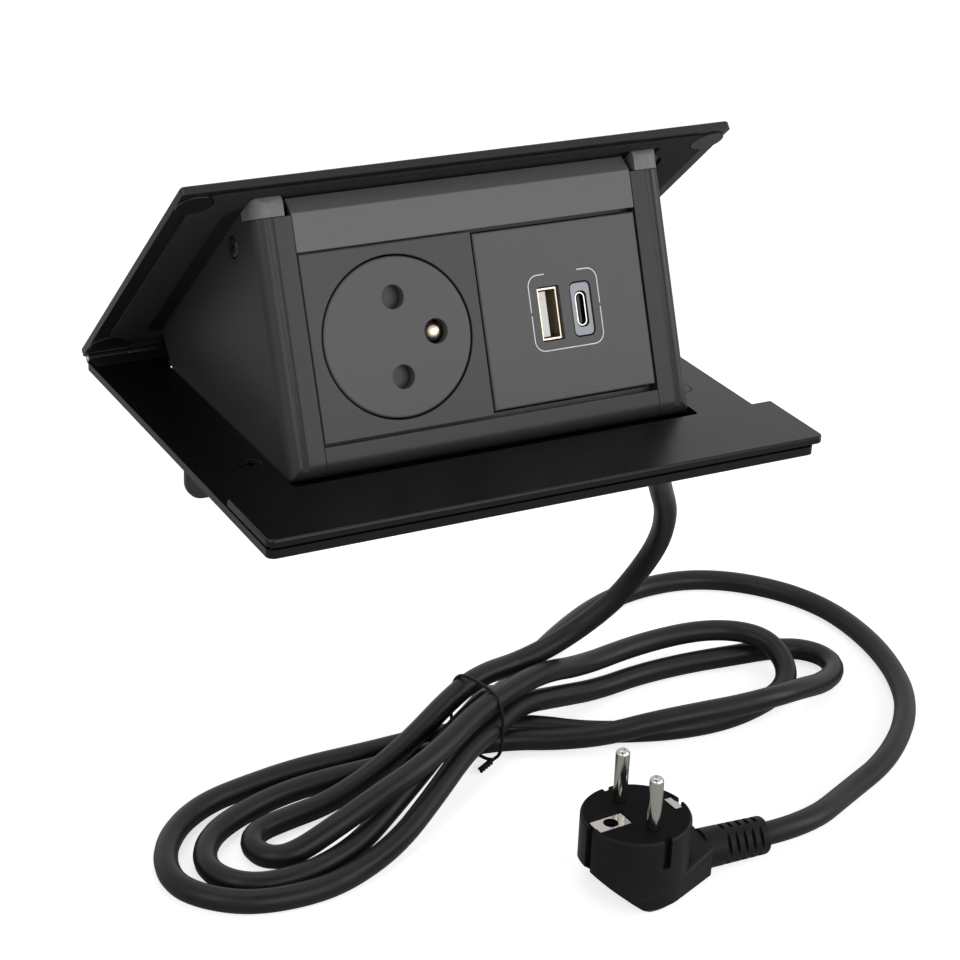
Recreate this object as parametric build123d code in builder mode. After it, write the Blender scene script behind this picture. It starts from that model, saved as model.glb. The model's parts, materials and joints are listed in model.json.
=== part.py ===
from build123d import *
import math
import os

os.makedirs("parts", exist_ok=True)

# A pop up desk socket. A base plate lies on the desk top round a cut-out, and a lid with a wedge shaped
# block of two modules swings on a hinge behind it. The block hangs in the desk when the lid is shut.
# Origin: middle of the base plate, on the desk top. X runs along the hinge, Y towards the hinge, Z up.
# It is drawn open. Sizes are in millimetres and angles in degrees.

# Base plate and front strip
plate_depth = 119.4
plate_margin_left = 18.4
plate_margin_right = 15.8
plate_thickness = 2.1
plate_corner = 2.0
cutout_length = 84.5
cutout_corner = 2.0
cutout_rear_margin = 7.3
strip_margin = 18.4
strip_depth = 23.9
strip_thickness = 1.9
strip_corner = 2.2
tape_thickness = 0.45
tape_setback = 0.9
edge_break = 0.3
fixing_screw_margin = 4.4
fixing_screw_y = -15.8
fixing_screw_length = 12.0
fixing_shank_radius = 1.5
fixing_neck_radius = 1.25
fixing_head_radius = 2.6
fixing_hole_clearance = 0.25
countersink_angle = 90.0

# Hinge
axis_behind_plate = 2.0
axis_height = 1.6
open_angle = 42.15
barrel_radius = 1.3
pin_radius = 0.75
pin_clearance = 0.05
leaf_thickness = 0.8
leaf_width = 5.4
leaf_rear_gap = 0.5
leaf_inset = 1.0
leaf_seat_gap = 0.05
knuckle_count = 13
knuckle_gap = 0.3
rivet_radius = 1.0
rivet_count = 5

# Lid
lid_margin = 17.8
lid_thickness = 2.1
lid_drop = 1.4
lid_overhang = 2.3
lid_front_gap = 0.35
lid_corner = 1.2
gasket_thickness = 0.65
gasket_outer_margin = 3.8
gasket_inner_gap = 4.8
gasket_rear = 7.4
gasket_rear_band = 2.6
gasket_front_gap = 1.8
gasket_front_band = 8.2
gasket_corner = 6.0
bumper_radius = 4.4
bumper_thickness = 0.5
bumper_inset_x = 4.3
bumper_inset_s = 6.0

# Block: the face leans towards the hinge as it goes down, measured with the lid shut
face_tilt = 20.6
face_top_reach = 89.55
crown = 4.6
bar_height = 9.4
module_height = 45.0
module_width = 45.3
chin_height = 7.4
bottom_length = 45.0
heel_depth = 12.0
block_rear = 10.4
cover_rear = 18.0
cheek_clearance = 0.5
cheek_wall = 3.0
post_width = 9.05
post_depth = 3.8
bead_radius = 3.4
chin_radius = 4.0
groove_radius = 1.1
groove_depth = 0.45
groove_inset = 3.9
seam = 0.15
cover_wall = 2.0
cover_gap = 0.2
chin_gap = 0.4
stop_reach = 2.6
stop_overlap = 0.8
stop_seat_depth = 22.0
stop_leg = 12.0
stop_thickness = 1.5
cap_width = 7.6
cap_depth = 8.0
cap_height = 3.6
bar_wall = 2.6
bar_flange = 1.7
bar_flange_length = 11.0
bar_crest_setback = 1.4
cheek_screw_s = 72.5
cheek_screw_u = 4.4
boss_radius = 3.3
pan_head_radius = 2.6
pan_head_height = 1.7
head_proud = 0.2
head_clearance = 0.3
small_shank_radius = 1.2
small_screw_length = 8.0
pilot_clearance = 0.05

# Module frame
frame_front = 4.0
frame_thickness = 3.0
frame_margin = 4.4
window_width = 88.6
window_height = 43.8

# Socket module
socket_recess = 0.3
cover_plate_thickness = 3.6
module_gap = 0.2
disc_radius = 19.1
disc_gap = 0.45
disc_thickness = 3.0
skirt_wall = 1.4
skirt_depth = 2.0
disc_travel = 11.5
spring_solid_height = 3.7
pin_spacing = 19.0
pin_hole_radius = 2.85
earth_offset = 10.0
earth_pin_radius = 2.4
earth_hole_radius = 3.0
earth_pin_sunk = 1.2
dome_share = 0.8
body_width = 43.0
body_depth = 33.0
contact_radius = 3.4
contact_bore = 2.45
contact_length = 10.0
contact_end = 1.0
contact_slot = 0.8
pocket_clearance = 0.3
shutter_pad = 7.6
shutter_thickness = 1.5
shutter_gap = 0.2
disc_spring_radius = 18.4
disc_spring_wire = 0.8
disc_spring_turns = 3.5
terminal_radius = 2.2
terminal_length = 4.0

# Charger module
charger_height = 42.8
charger_raise = 0.2
port_gap = 0.35
port_height = 12.6
port_a_width = 5.4
port_a_x = -4.1
port_a_depth = 13.0
port_a_sunk = 1.0
port_c_insert_width = 5.3
port_c_insert_height = 12.9
port_c_insert_radius = 1.2
port_c_sunk = 0.25
port_c_width = 3.2
port_c_height = 8.8
port_c_shell_gap = 0.3
port_c_shell_sunk = 0.8
port_c_x = 4.7
port_c_depth = 7.0
port_middle = 22.4
shell_wall = 0.4
fine_shell_wall = 0.25
tongue_thickness = 1.9
tongue_width = 11.0
tongue_sunk = 1.6
fine_tongue_thickness = 0.7
fine_tongue_width = 6.7
board_thickness = 1.6
board_depth = 16.0
housing_depth = 30.0
housing_wall = 1.6
transformer_size = 14.0
transformer_height = 9.0

# Press catch in the block, beside the right cheek
catch_s = 60.0
catch_u = 5.2
bolt_height = 2.6
bolt_width = 8.0
bolt_length = 6.9
catch_wall = 1.2
catch_clearance = 0.15
catch_spring_wire = 0.4
catch_spring_turns = 3

# Rear bracket, lift springs and the cord's saddle, all fixed to the base plate
bracket_wall = 1.5
bracket_half_width = 49.0
bracket_flange = 5.4
bracket_gap = 1.2
bracket_drop = 40.0
bracket_corner = 5.0
bracket_rebate = 0.3
rebate_clearance = 0.5
rod_y_gap = 4.3
rod_z = -6.0
rod_radius = 2.3
rod_eye = 2.0
rod_eye_wall = 1.9
spring_x = 38.0
spring_wire = 1.2
spring_mean_radius = 3.4
spring_turns = 5.25
spring_sides = 8
spring_pitch = 1.5
spring_leg = 16.0
touch_gap = 0.3

# Cord
cord_diameter = 8.1
lead_x = -24.0
lead_height = 15.0
lead_straight = 20.0
lead_inside = 1.0
core_radius = 1.0
core_pitch = 2.8
core_straight = 4.0
run_share = 0.45
join_share = 0.75
lead_hole_clearance = 0.35
saddle_x = 12.0
saddle_width = 12.0
saddle_wall = 2.0
saddle_z = -32.0
saddle_ear = 7.0
cord_seat_gap = 0.1
boot_start_x = 26.0
boot_length = 30.0
boot_flange_radius = 7.0
boot_flange = 2.0
boot_root_radius = 6.3
boot_tip_radius = 4.9
boot_neck_radius = 5.2
boot_straight = 23.0
boot_groove_count = 4
boot_groove_depth = 0.7
floor_drop = 215.0
layer_pitch = 8.75
inner_fold_reach = 104.6
inner_fold_width = 21.3
short_fold_reach = 126.8
short_fold_width = 43.0
outer_fold_reach = 136.9
outer_fold_width = 39.1
long_fold_reach = 147.0
long_fold_width = 52.0
middle_fold_reach = 123.9
middle_fold_width = 29.3
waist_x = 103.0
waist_y = 161.2
waist_heading = 193.1
waist_lift = 1.75
waist_half_length = 27.5
tie_diameter = 1.3
tie_gap = 0.4
tie_half_width = 14.3
tie_corner = 6.0

# Plug
plug_x = 109.0
plug_y = 66.0
plug_heading = -3.0
pin_heading = 4.0
plug_radius = 18.3
plug_height = 28.0
relief_height = 8.0
plug_edge = 1.2
heel_rise = 12.5
heel_reach = 17.3
shell_step = 0.25
shell_low = 5.2
shell_rounding = 2.0
shell_bevel = 2.8
neck_rise = 2.4
neck_reach = 5.6
guide_width = 3.0
guide_depth = 2.4
guide_length = 10.8
clip_inset = 2.0
clip_recess = 0.7
clip_margin = 0.35
clip_slot_width = 3.2
clip_slot_length = 17.0
plug_pin_radius = 2.4
plug_pin_length = 19.0
plug_pin_root = 6.0
plug_pin_neck_radius = 2.0
plug_pin_neck = 0.3
earth_clip_width = 7.4
earth_clip_thickness = 1.0
earth_clip_hole = 2.5
earth_clip_length = 11.0
earth_leg_width = 2.6
earth_clip_inner = 3.4
neck_radius = 7.2
neck_length = 14.0
relief_radius = 6.9
relief_tip_radius = 6.5
relief_length = 24.0
relief_slots = 5
relief_slot_width = 1.3
relief_slot_depth = 1.5
relief_slot_pitch = 3.1
relief_slot_start = 7.8
relief_slot_share = 0.58
relief_slot_turn = -28.0
relief_edge = 1.0
lead_in = 18.0

overrun = 1.0

# Places that follow from the sizes above
post_inner = module_width + seam
cheek_outer = post_inner + post_width
cheek_inner = cheek_outer - cheek_wall
cutout_width = 2 * (cheek_outer + cheek_clearance)
plate_left = cutout_width / 2 + plate_margin_left
plate_right = cutout_width / 2 + plate_margin_right
strip_half_length = cutout_width / 2 + strip_margin
lid_width = cutout_width + 2 * lid_margin
gasket_outer_half = lid_width / 2 - gasket_outer_margin
gasket_inner_half = cheek_outer + gasket_inner_gap
plate_width = plate_left + plate_right
plate_middle_x = (plate_right - plate_left) / 2
plate_front = -plate_depth / 2
plate_rear = plate_depth / 2
cutout_rear = plate_rear - cutout_rear_margin
cutout_front = cutout_rear - cutout_length
cutout_middle = (cutout_front + cutout_rear) / 2
strip_rear = plate_front + strip_depth
strip_bottom = plate_thickness + tape_thickness
axis_y = plate_rear + axis_behind_plate
axis_z = axis_height
lid_reach = axis_y - strip_rear - lid_front_gap
floor_z = -floor_drop
cord_radius = cord_diameter / 2

sin_open = math.sin(math.radians(open_angle))
cos_open = math.cos(math.radians(open_angle))
sin_tilt = math.sin(math.radians(face_tilt))
cos_tilt = math.cos(math.radians(face_tilt))
lean = math.radians(open_angle - face_tilt)


def block_point(x, s, u):
    """A point of the swinging block: s from the hinge axis towards the lid's front, u below the lid."""
    y = axis_y - s * cos_open + (lid_drop - u) * sin_open
    z = axis_z + s * sin_open + (lid_drop - u) * cos_open
    return (x, y, z)


# The lid's underside: local x runs along the hinge, local y back towards it, local z up through the lid
lid_plane = Plane(origin=block_point(0, 0, 0), x_dir=(1, 0, 0), z_dir=(0, sin_open, cos_open))
# A side view of the block: local x is s and local y is -u
side_plane = Plane(origin=block_point(0, 0, 0), x_dir=(0, -cos_open, sin_open), z_dir=(-1, 0, 0))


def face_su(height, depth=0.0):
    """Side view place of a point of the face: height above the modules' lower edge, depth behind it."""
    drop = bar_height + module_height - height
    s = face_top_reach - drop * sin_tilt - depth * cos_tilt
    u = crown + drop * cos_tilt - depth * sin_tilt
    return (s, u)


def side(*points):
    """Side view places (s, u) as points of a sketch on side_plane."""
    return [(s, -u) for s, u in points]


face_foot = face_su(0)
# The face: local x along the hinge, local y up the face, local z out of it
face_plane = Plane(
    origin=block_point(0, *face_foot), x_dir=(1, 0, 0), z_dir=(0, -math.cos(lean), math.sin(lean))
)


def block_spot(x, s, u, turn=(0, 0, 0)):
    """A location in the block, turned in the lid's own axes."""
    return lid_plane.location * Location((x, -s, -u), turn)


def face_spot(x, height, out, turn=(0, 0, 0)):
    """A location on the face, turned in the face's own axes."""
    return face_plane.location * Location((x, height, out), turn)


def keep(piece, label):
    """Labels a finished piece and writes its file."""
    piece.part.label = label
    export_step(piece.part, f"parts/{label}.step")


def cross_recess(spot, radius, depth):
    """Cuts the cross of a screwdriver slot, its mouth at the given location."""
    for turn in (0, 90):
        with Locations(spot * Location((0, 0, 0), (0, 0, turn))):
            Box(2 * radius, radius / 2, 2 * depth, mode=Mode.SUBTRACT)


# Base plate: painted sheet with the block's cut-out, a seat for the fixed leaf, rebates under its edges for
# the bracket's flange and the stop bar, and two fixing holes
hinge_length = plate_width - 2 * leaf_inset
hinge_x = plate_middle_x
leaf_rear = axis_y - barrel_radius - leaf_rear_gap
leaf_front = leaf_rear - leaf_width
leaf_middle = (leaf_front + leaf_rear) / 2
rivet_pitch = hinge_length / rivet_count
rivet_places = [hinge_x - hinge_length / 2 + (i + 0.5) * rivet_pitch for i in range(rivet_count)]
fixing_screw_x = cutout_width / 2 + fixing_screw_margin
fixing_places = [(-fixing_screw_x, fixing_screw_y), (fixing_screw_x, fixing_screw_y)]
stop_half_length = cutout_width / 2 + stop_overlap

with BuildPart() as base_plate:
    with BuildSketch():
        with Locations((plate_middle_x, 0)):
            RectangleRounded(plate_width, plate_depth, plate_corner)
        with Locations((0, cutout_middle)):
            RectangleRounded(cutout_width, cutout_length, cutout_corner, mode=Mode.SUBTRACT)
    extrude(amount=plate_thickness)
    with BuildSketch(Plane.XY.offset(plate_thickness)):
        with Locations((hinge_x, (leaf_front + plate_rear) / 2)):
            Rectangle(hinge_length + 2 * leaf_seat_gap, plate_rear - leaf_front + 2 * leaf_seat_gap)
    extrude(amount=-leaf_thickness, mode=Mode.SUBTRACT)
    with BuildSketch():
        with Locations((0, cutout_rear)):
            Rectangle(2 * (bracket_half_width + rebate_clearance), 2 * cutout_rear_margin + overrun)
        with Locations((0, cutout_front - stop_reach - rebate_clearance)):
            Rectangle(
                2 * (stop_half_length + rebate_clearance),
                stop_seat_depth,
                align=(Align.CENTER, Align.MIN),
            )
    extrude(amount=bracket_rebate, mode=Mode.SUBTRACT)
    with Locations([(x, y, plate_thickness) for x, y in fixing_places]):
        CounterSinkHole(
            fixing_shank_radius + fixing_hole_clearance,
            fixing_head_radius + fixing_hole_clearance,
            counter_sink_angle=countersink_angle,
        )
    with Locations([(x, leaf_middle, plate_thickness) for x in rivet_places]):
        Hole(rivet_radius + pin_clearance)
keep(base_plate, "base_plate")

# Tape that holds the strip up off the plate and shows as the dark line under it
with BuildPart() as strip_tape:
    with BuildSketch(Plane.XY.offset(plate_thickness)):
        with Locations((plate_middle_x, plate_front + strip_depth / 2)):
            Rectangle(plate_width - 2 * tape_setback, strip_depth - 2 * tape_setback)
    extrude(amount=tape_thickness)
keep(strip_tape, "strip_tape")

# Front strip: a flat bar flush with the shut lid, longer than the plate at its right-hand end
with BuildPart() as front_strip:
    with BuildSketch(Plane.XY.offset(strip_bottom)):
        with Locations((0, plate_front + strip_depth / 2)):
            Rectangle(2 * strip_half_length, strip_depth)
        fillet(vertices().group_by(Axis.Y)[0], strip_corner)
    extrude(amount=strip_thickness)
    chamfer(faces().sort_by(Axis.Z)[-1].edges(), edge_break)
keep(front_strip, "front_strip")

# Fixing screws: countersunk wood screws, a neck through the plate and the thread down in the desk
screw_cone = fixing_head_radius - fixing_shank_radius
screw_point = 2 * screw_cone
screw_neck = plate_thickness - screw_cone + touch_gap
screw_thread = fixing_screw_length - screw_cone - screw_neck - screw_point
screw_parts = (
    (screw_cone, fixing_shank_radius, fixing_head_radius),
    (screw_neck, fixing_neck_radius, fixing_neck_radius),
    (screw_thread, fixing_shank_radius, fixing_shank_radius),
    (screw_point, fixing_shank_radius / 5, fixing_shank_radius),
)
with BuildPart() as fixing_screws:
    for x, y in fixing_places:
        top = plate_thickness
        for height, lower_radius, upper_radius in screw_parts:
            with Locations((x, y, top - height / 2)):
                if lower_radius == upper_radius:
                    Cylinder(upper_radius, height)
                else:
                    Cone(lower_radius, upper_radius, height)
            top -= height
        cross_recess(Location((x, y, plate_thickness)), fixing_head_radius / 2, screw_cone)
keep(fixing_screws, "fixing_screws")

# Hinge: knuckles of the two leaves alternate along one pin
knuckle_pitch = hinge_length / knuckle_count
knuckle_length = knuckle_pitch - knuckle_gap
knuckles = [hinge_x - hinge_length / 2 + (i + 0.5) * knuckle_pitch for i in range(knuckle_count)]
fixed_knuckles = knuckles[0::2]
moving_knuckles = knuckles[1::2]
hinge_bore = pin_radius + pin_clearance
finger_length = axis_y - leaf_rear

with BuildPart() as fixed_leaf:
    with BuildSketch(Plane.XY.offset(plate_thickness - leaf_thickness)):
        with Locations((hinge_x, leaf_middle)):
            Rectangle(hinge_length, leaf_width)
        with Locations([(x, leaf_rear + finger_length / 2) for x in fixed_knuckles]):
            Rectangle(knuckle_length, finger_length)
        with Locations([(x, leaf_middle) for x in rivet_places]):
            Circle(rivet_radius + pin_clearance, mode=Mode.SUBTRACT)
    extrude(amount=leaf_thickness)
    with Locations([Location((x, axis_y, axis_z), (0, 90, 0)) for x in fixed_knuckles]):
        Cylinder(barrel_radius, knuckle_length)
    with Locations(Location((hinge_x, axis_y, axis_z), (0, 90, 0))):
        Cylinder(hinge_bore, hinge_length + 2 * overrun, mode=Mode.SUBTRACT)
keep(fixed_leaf, "fixed_leaf")

with BuildPart() as hinge_pin:
    with Locations(Location((hinge_x, axis_y, axis_z), (0, 90, 0))):
        Cylinder(pin_radius, hinge_length + 2 * leaf_seat_gap)
    chamfer(hinge_pin.edges().filter_by(GeomType.CIRCLE), edge_break)
keep(hinge_pin, "hinge_pin")

# Rivets through the leaf and the plate: the inner ones hold the rear bracket too
with BuildPart() as leaf_rivets:
    for x in rivet_places:
        through = plate_thickness + (bracket_wall - bracket_rebate if abs(x) < bracket_half_width else 0)
        with Locations((x, leaf_middle, plate_thickness)):
            Cylinder(rivet_radius, through, align=(Align.CENTER, Align.CENTER, Align.MAX))
keep(leaf_rivets, "leaf_rivets")

moving_leaf_front = barrel_radius + leaf_rear_gap + leaf_width
leaf_screw_s = moving_leaf_front - leaf_width / 2
leaf_screw_places = [(x, -leaf_screw_s) for x in rivet_places]
with BuildPart() as moving_leaf:
    with BuildSketch(lid_plane):
        with Locations((hinge_x, -leaf_screw_s)):
            Rectangle(hinge_length - 2 * knuckle_pitch, leaf_width)
        with Locations([(x, -finger_length / 2) for x in moving_knuckles]):
            Rectangle(knuckle_length, finger_length)
        with Locations(leaf_screw_places):
            Circle(rivet_radius + pin_clearance, mode=Mode.SUBTRACT)
    extrude(amount=-leaf_thickness)
    with Locations([block_spot(x, 0, lid_drop, (0, 90, 0)) for x in moving_knuckles]):
        Cylinder(barrel_radius, knuckle_length)
    with Locations(block_spot(hinge_x, 0, lid_drop, (0, 90, 0))):
        Cylinder(hinge_bore, hinge_length + 2 * overrun, mode=Mode.SUBTRACT)
keep(moving_leaf, "moving_leaf")

# Studs pressed into the lid hold its leaf
with BuildPart() as leaf_studs:
    with BuildSketch(lid_plane.offset(-leaf_thickness)):
        with Locations(leaf_screw_places):
            Circle(rivet_radius)
    extrude(amount=leaf_thickness + lid_thickness / 2)
keep(leaf_studs, "leaf_studs")

# Lid: painted plate that closes flush with the strip
lid_middle = (lid_reach - lid_overhang) / 2
lid_length = lid_reach + lid_overhang
with BuildPart() as lid_plate:
    with BuildSketch(lid_plane):
        with Locations((0, -lid_middle)):
            RectangleRounded(lid_width, lid_length, lid_corner)
    extrude(amount=lid_thickness)
    chamfer(faces().sort_by(Axis(lid_plane.origin, lid_plane.z_dir))[-1].edges(), edge_break)
    with BuildSketch(lid_plane):
        with Locations(leaf_screw_places):
            Circle(rivet_radius + pin_clearance)
    extrude(amount=lid_thickness / 2 + pin_clearance, mode=Mode.SUBTRACT)
keep(lid_plate, "lid_plate")

# Round pads at the lid's corners
bumper_places = [
    (sign * (lid_width / 2 - bumper_inset_x), -place)
    for sign in (-1, 1)
    for place in (bumper_inset_s, lid_reach - bumper_inset_s)
]
with BuildPart() as lid_bumpers:
    with BuildSketch(lid_plane):
        with Locations(bumper_places):
            Circle(bumper_radius)
    extrude(amount=-bumper_thickness)
keep(lid_bumpers, "lid_bumpers")

# Gasket: a foam frame under the lid, cut away for the pads and over the block
gasket_front = lid_reach - gasket_front_gap
gasket_middle = (gasket_rear + gasket_front) / 2
gasket_inner_rear = gasket_rear + gasket_rear_band
gasket_inner_front = gasket_front - gasket_front_band
with BuildPart() as lid_gasket:
    with BuildSketch(lid_plane):
        with Locations((0, -gasket_middle)):
            RectangleRounded(2 * gasket_outer_half, gasket_front - gasket_rear, gasket_corner)
        with Locations((0, -(gasket_inner_rear + gasket_inner_front) / 2)):
            RectangleRounded(
                2 * gasket_inner_half,
                gasket_inner_front - gasket_inner_rear,
                gasket_corner,
                mode=Mode.SUBTRACT,
            )
        with Locations((0, -gasket_middle)):
            Rectangle(
                2 * (cheek_outer + touch_gap),
                2 * (face_top_reach + crown * sin_tilt + touch_gap - gasket_middle),
                mode=Mode.SUBTRACT,
            )
        with Locations(bumper_places):
            Circle(bumper_radius + touch_gap, mode=Mode.SUBTRACT)
    extrude(amount=-gasket_thickness)
keep(lid_gasket, "lid_gasket")

# Block outline in the side view, from the lid down the rear edge, along the bottom and up the face
heel_corner = face_su(-chin_height, bottom_length)
chin_corner = face_su(-chin_height)
cap_foot = module_height + bar_height - seam - edge_break
cap_rear = face_su(cap_foot, cap_depth)
cheek_outline = side(
    (block_rear, 0),
    (block_rear, heel_depth),
    heel_corner,
    chin_corner,
    face_su(cap_foot),
    cap_rear,
    (cap_rear[0], 0),
)
# Plan view of the posts, looking up the face: local x along the hinge and local y into the block
post_plane = Plane(
    origin=block_point(0, *chin_corner), x_dir=(1, 0, 0), z_dir=(0, math.sin(lean), math.cos(lean))
)
groove_x = cheek_outer - groove_inset
head_sunk = pan_head_height - head_proud
head_bore = pan_head_radius + head_clearance
catch_hole_s = bolt_width + 2 * catch_clearance
catch_hole_u = bolt_height + 2 * catch_clearance

# Cheeks: thick end plates, each with a post beside the modules that rounds out to its side
for sign, cheek_name in ((-1, "left_cheek"), (1, "right_cheek")):
    wall_start = cheek_inner if sign < 0 else -cheek_outer
    with BuildPart() as cheek:
        with BuildSketch(side_plane.offset(wall_start)):
            with BuildLine():
                Polyline(
                    *cheek_outline[:3],
                    *side(
                        face_su(-chin_height, bead_radius),
                        face_su(cap_foot, bead_radius),
                    ),
                    *cheek_outline[5:],
                    close=True,
                )
            make_face()
        extrude(amount=cheek_wall)
        with BuildSketch(post_plane):
            with Locations((sign * (post_inner + cheek_outer) / 2, post_depth / 2)):
                Rectangle(cheek_outer - post_inner, post_depth)
            fillet(vertices().group_by(Axis.Y)[0].sort_by(Axis.X)[-1 if sign > 0 else 0], bead_radius)
            with Locations((sign * groove_x, groove_depth - groove_radius)):
                Circle(groove_radius, mode=Mode.SUBTRACT)
        extrude(amount=cap_foot + chin_height)
        with BuildSketch(side_plane.offset(-cheek_outer - overrun)):
            with BuildLine():
                Polyline(*cheek_outline, close=True)
            make_face()
            fillet(vertices().sort_by(Axis.Y)[0], chin_radius)
        extrude(amount=2 * (cheek_outer + overrun), mode=Mode.INTERSECT)
        with Locations(block_spot(sign * cheek_outer, cheek_screw_s, cheek_screw_u, (0, sign * 90, 0))):
            CounterBoreHole(
                small_shank_radius + fixing_hole_clearance, head_bore, head_sunk, depth=cheek_wall + overrun
            )
        if sign > 0:
            with Locations(block_spot(cheek_outer, catch_s, catch_u)):
                Box(2 * (cheek_wall + overrun), catch_hole_s, catch_hole_u, mode=Mode.SUBTRACT)
    keep(cheek, cheek_name)

# End caps on top of the posts, up to the lid
for sign, cap_name in ((-1, "left_cap"), (1, "right_cap")):
    with BuildPart() as cap:
        with BuildSketch(post_plane.offset(chin_height + cap_foot + seam)):
            with Locations((sign * (cheek_outer - cap_width / 2), cap_depth / 2)):
                Rectangle(cap_width, cap_depth)
            fillet(vertices().group_by(Axis.Y)[0].sort_by(Axis.X)[-1 if sign > 0 else 0], bead_radius)
        extrude(amount=cap_height + cap_depth)
        with BuildSketch(side_plane.offset(-cheek_outer - overrun)):
            with BuildLine():
                cap_top = face_su(cap_foot + cap_height)
                Polyline(
                    *side(
                        face_su(cap_foot),
                        cap_top,
                        (cap_top[0] - edge_break, seam),
                        (cap_rear[0], seam),
                        cap_rear,
                    ),
                    close=True,
                )
            make_face()
        extrude(amount=2 * (cheek_outer + overrun), mode=Mode.INTERSECT)
    keep(cap, cap_name)

# Tie bar across the block: the cheeks are screwed to its tapped ends
tie_bar_half = cheek_inner
with BuildPart() as tie_bar:
    with Locations(block_spot(0, cheek_screw_s, cheek_screw_u, (0, 90, 0))):
        Cylinder(boss_radius, 2 * tie_bar_half)
    for sign in (-1, 1):
        with Locations(block_spot(sign * tie_bar_half, cheek_screw_s, cheek_screw_u, (0, 90, 0))):
            Cylinder(small_shank_radius + pilot_clearance, 2 * small_screw_length, mode=Mode.SUBTRACT)
keep(tie_bar, "tie_bar")

# Cheek screws: one at each end of the tie bar, its pan head sunk in the cheek to clear the plate
with BuildPart() as cheek_screws:
    for sign in (-1, 1):
        spot = block_spot(sign * (cheek_outer - head_sunk), cheek_screw_s, cheek_screw_u, (0, sign * 90, 0))
        with Locations(spot):
            Cylinder(pan_head_radius, pan_head_height, align=(Align.CENTER, Align.CENTER, Align.MIN))
        head_rim = cheek_screws.faces().sort_by(Axis.X)[-1 if sign > 0 else 0].edges()
        fillet(head_rim, pan_head_height / 2)
        with Locations(spot):
            Cylinder(small_shank_radius, small_screw_length, align=(Align.CENTER, Align.CENTER, Align.MAX))
        cross_recess(spot * Location((0, 0, pan_head_height)), pan_head_radius / 2, pan_head_height / 2)
keep(cheek_screws, "cheek_screws")

# Top bar: a folded profile between the posts, with a flange bonded to the lid
flange_rear = face_top_reach - bar_flange_length
bar_inner_height = module_height + bar_height + (crown - bar_wall * sin_tilt - seam - bar_flange) / cos_tilt
with BuildPart() as top_bar:
    with BuildSketch(side_plane.offset(-module_width)):
        with BuildLine():
            Polyline(
                *side(
                    face_su(module_height + seam),
                    face_su(module_height + bar_height),
                    (face_top_reach - bar_crest_setback, seam),
                    (flange_rear, seam),
                    (flange_rear, seam + bar_flange),
                    face_su(bar_inner_height, bar_wall),
                    face_su(module_height + seam, bar_wall),
                ),
                close=True,
            )
        make_face()
    extrude(amount=2 * module_width)
keep(top_bar, "top_bar")

# Bottom cover: a folded shell with the chin, the bottom and the rear wall
rear_top = (cover_rear, seam + touch_gap)
cover_half = cheek_inner - cover_gap
wall_foot = Vector(*block_point(lead_x, *heel_corner))
wall_head = Vector(*block_point(lead_x, *rear_top))
wall_up = (wall_head - wall_foot).normalized()
wall_normal = Vector(0, wall_up.Z, -wall_up.Y)
lead_end = wall_foot + wall_up * lead_height
with BuildPart() as bottom_cover:
    with BuildSketch(side_plane.offset(-cover_half)):
        with BuildLine():
            FilletPolyline(
                *side(face_su(-chin_gap), chin_corner, heel_corner, rear_top), radius=chin_radius
            )
            offset(amount=cover_wall, side=Side.RIGHT)
        make_face()
    extrude(amount=2 * cover_half)
    for sign in (-1, 1):
        with BuildSketch(post_plane.offset(-overrun)):
            with Locations((sign * (post_inner + cover_half) / 2, (post_depth + seam) / 2)):
                Rectangle(cover_half - post_inner + 2 * seam, post_depth + seam)
        extrude(amount=chin_height + 2 * overrun, mode=Mode.SUBTRACT)
    with Locations(Plane(origin=lead_end, z_dir=wall_normal)):
        Cylinder(cord_radius + lead_hole_clearance, 4 * cover_wall, mode=Mode.SUBTRACT)
keep(bottom_cover, "bottom_cover")

# Stop bar: a bent strip under the chin that meets the plate and holds the lid at its open angle; its front
# leg also closes the gap before the block
chin_point = Vector(*block_point(0, *chin_corner))
bottom_back = (Vector(*block_point(0, *heel_corner)) - chin_point).normalized()
bottom_out = Vector(0, bottom_back.Z, -bottom_back.Y)
stop_top = bracket_rebate - touch_gap
stop_front = cutout_front - stop_reach


def under_bottom(gap, level=None, reach=0):
    start = chin_point + bottom_out * gap
    if level is not None:
        reach += (start.Z - level) / -bottom_back.Z
    spot = start + bottom_back * reach
    return spot.Y, spot.Z


with BuildPart() as stop_bar:
    with BuildSketch(Plane.YZ.offset(-stop_half_length)):
        with BuildLine():
            Polyline(
                (stop_front, stop_top),
                under_bottom(seam, stop_top),
                under_bottom(seam, stop_top, stop_leg),
                under_bottom(seam + stop_thickness, stop_top, stop_leg),
                under_bottom(seam + stop_thickness, stop_top - stop_thickness),
                (stop_front, stop_top - stop_thickness),
                close=True,
            )
        make_face()
    extrude(amount=2 * stop_half_length)
keep(stop_bar, "stop_bar")

# Carrier frame behind the modules, held in the cheeks
with BuildPart() as module_frame:
    with BuildSketch(face_plane.offset(-frame_front)):
        with Locations((0, module_height / 2)):
            Rectangle(2 * (cheek_inner - touch_gap), window_height + 2 * frame_margin + 2 * seam)
            Rectangle(window_width, window_height, mode=Mode.SUBTRACT)
    extrude(amount=-frame_thickness)
keep(module_frame, "module_frame")

# Socket module
socket_x = -module_width / 2
charger_x = module_width / 2
module_middle = module_height / 2
module_side = module_width - 2 * module_gap
disc_hole_radius = disc_radius + disc_gap
cover_back = socket_recess + cover_plate_thickness
pin_places = [(socket_x, module_middle - pin_spacing / 2), (socket_x, module_middle + pin_spacing / 2)]
earth_place = (socket_x + earth_offset, module_middle)

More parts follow.
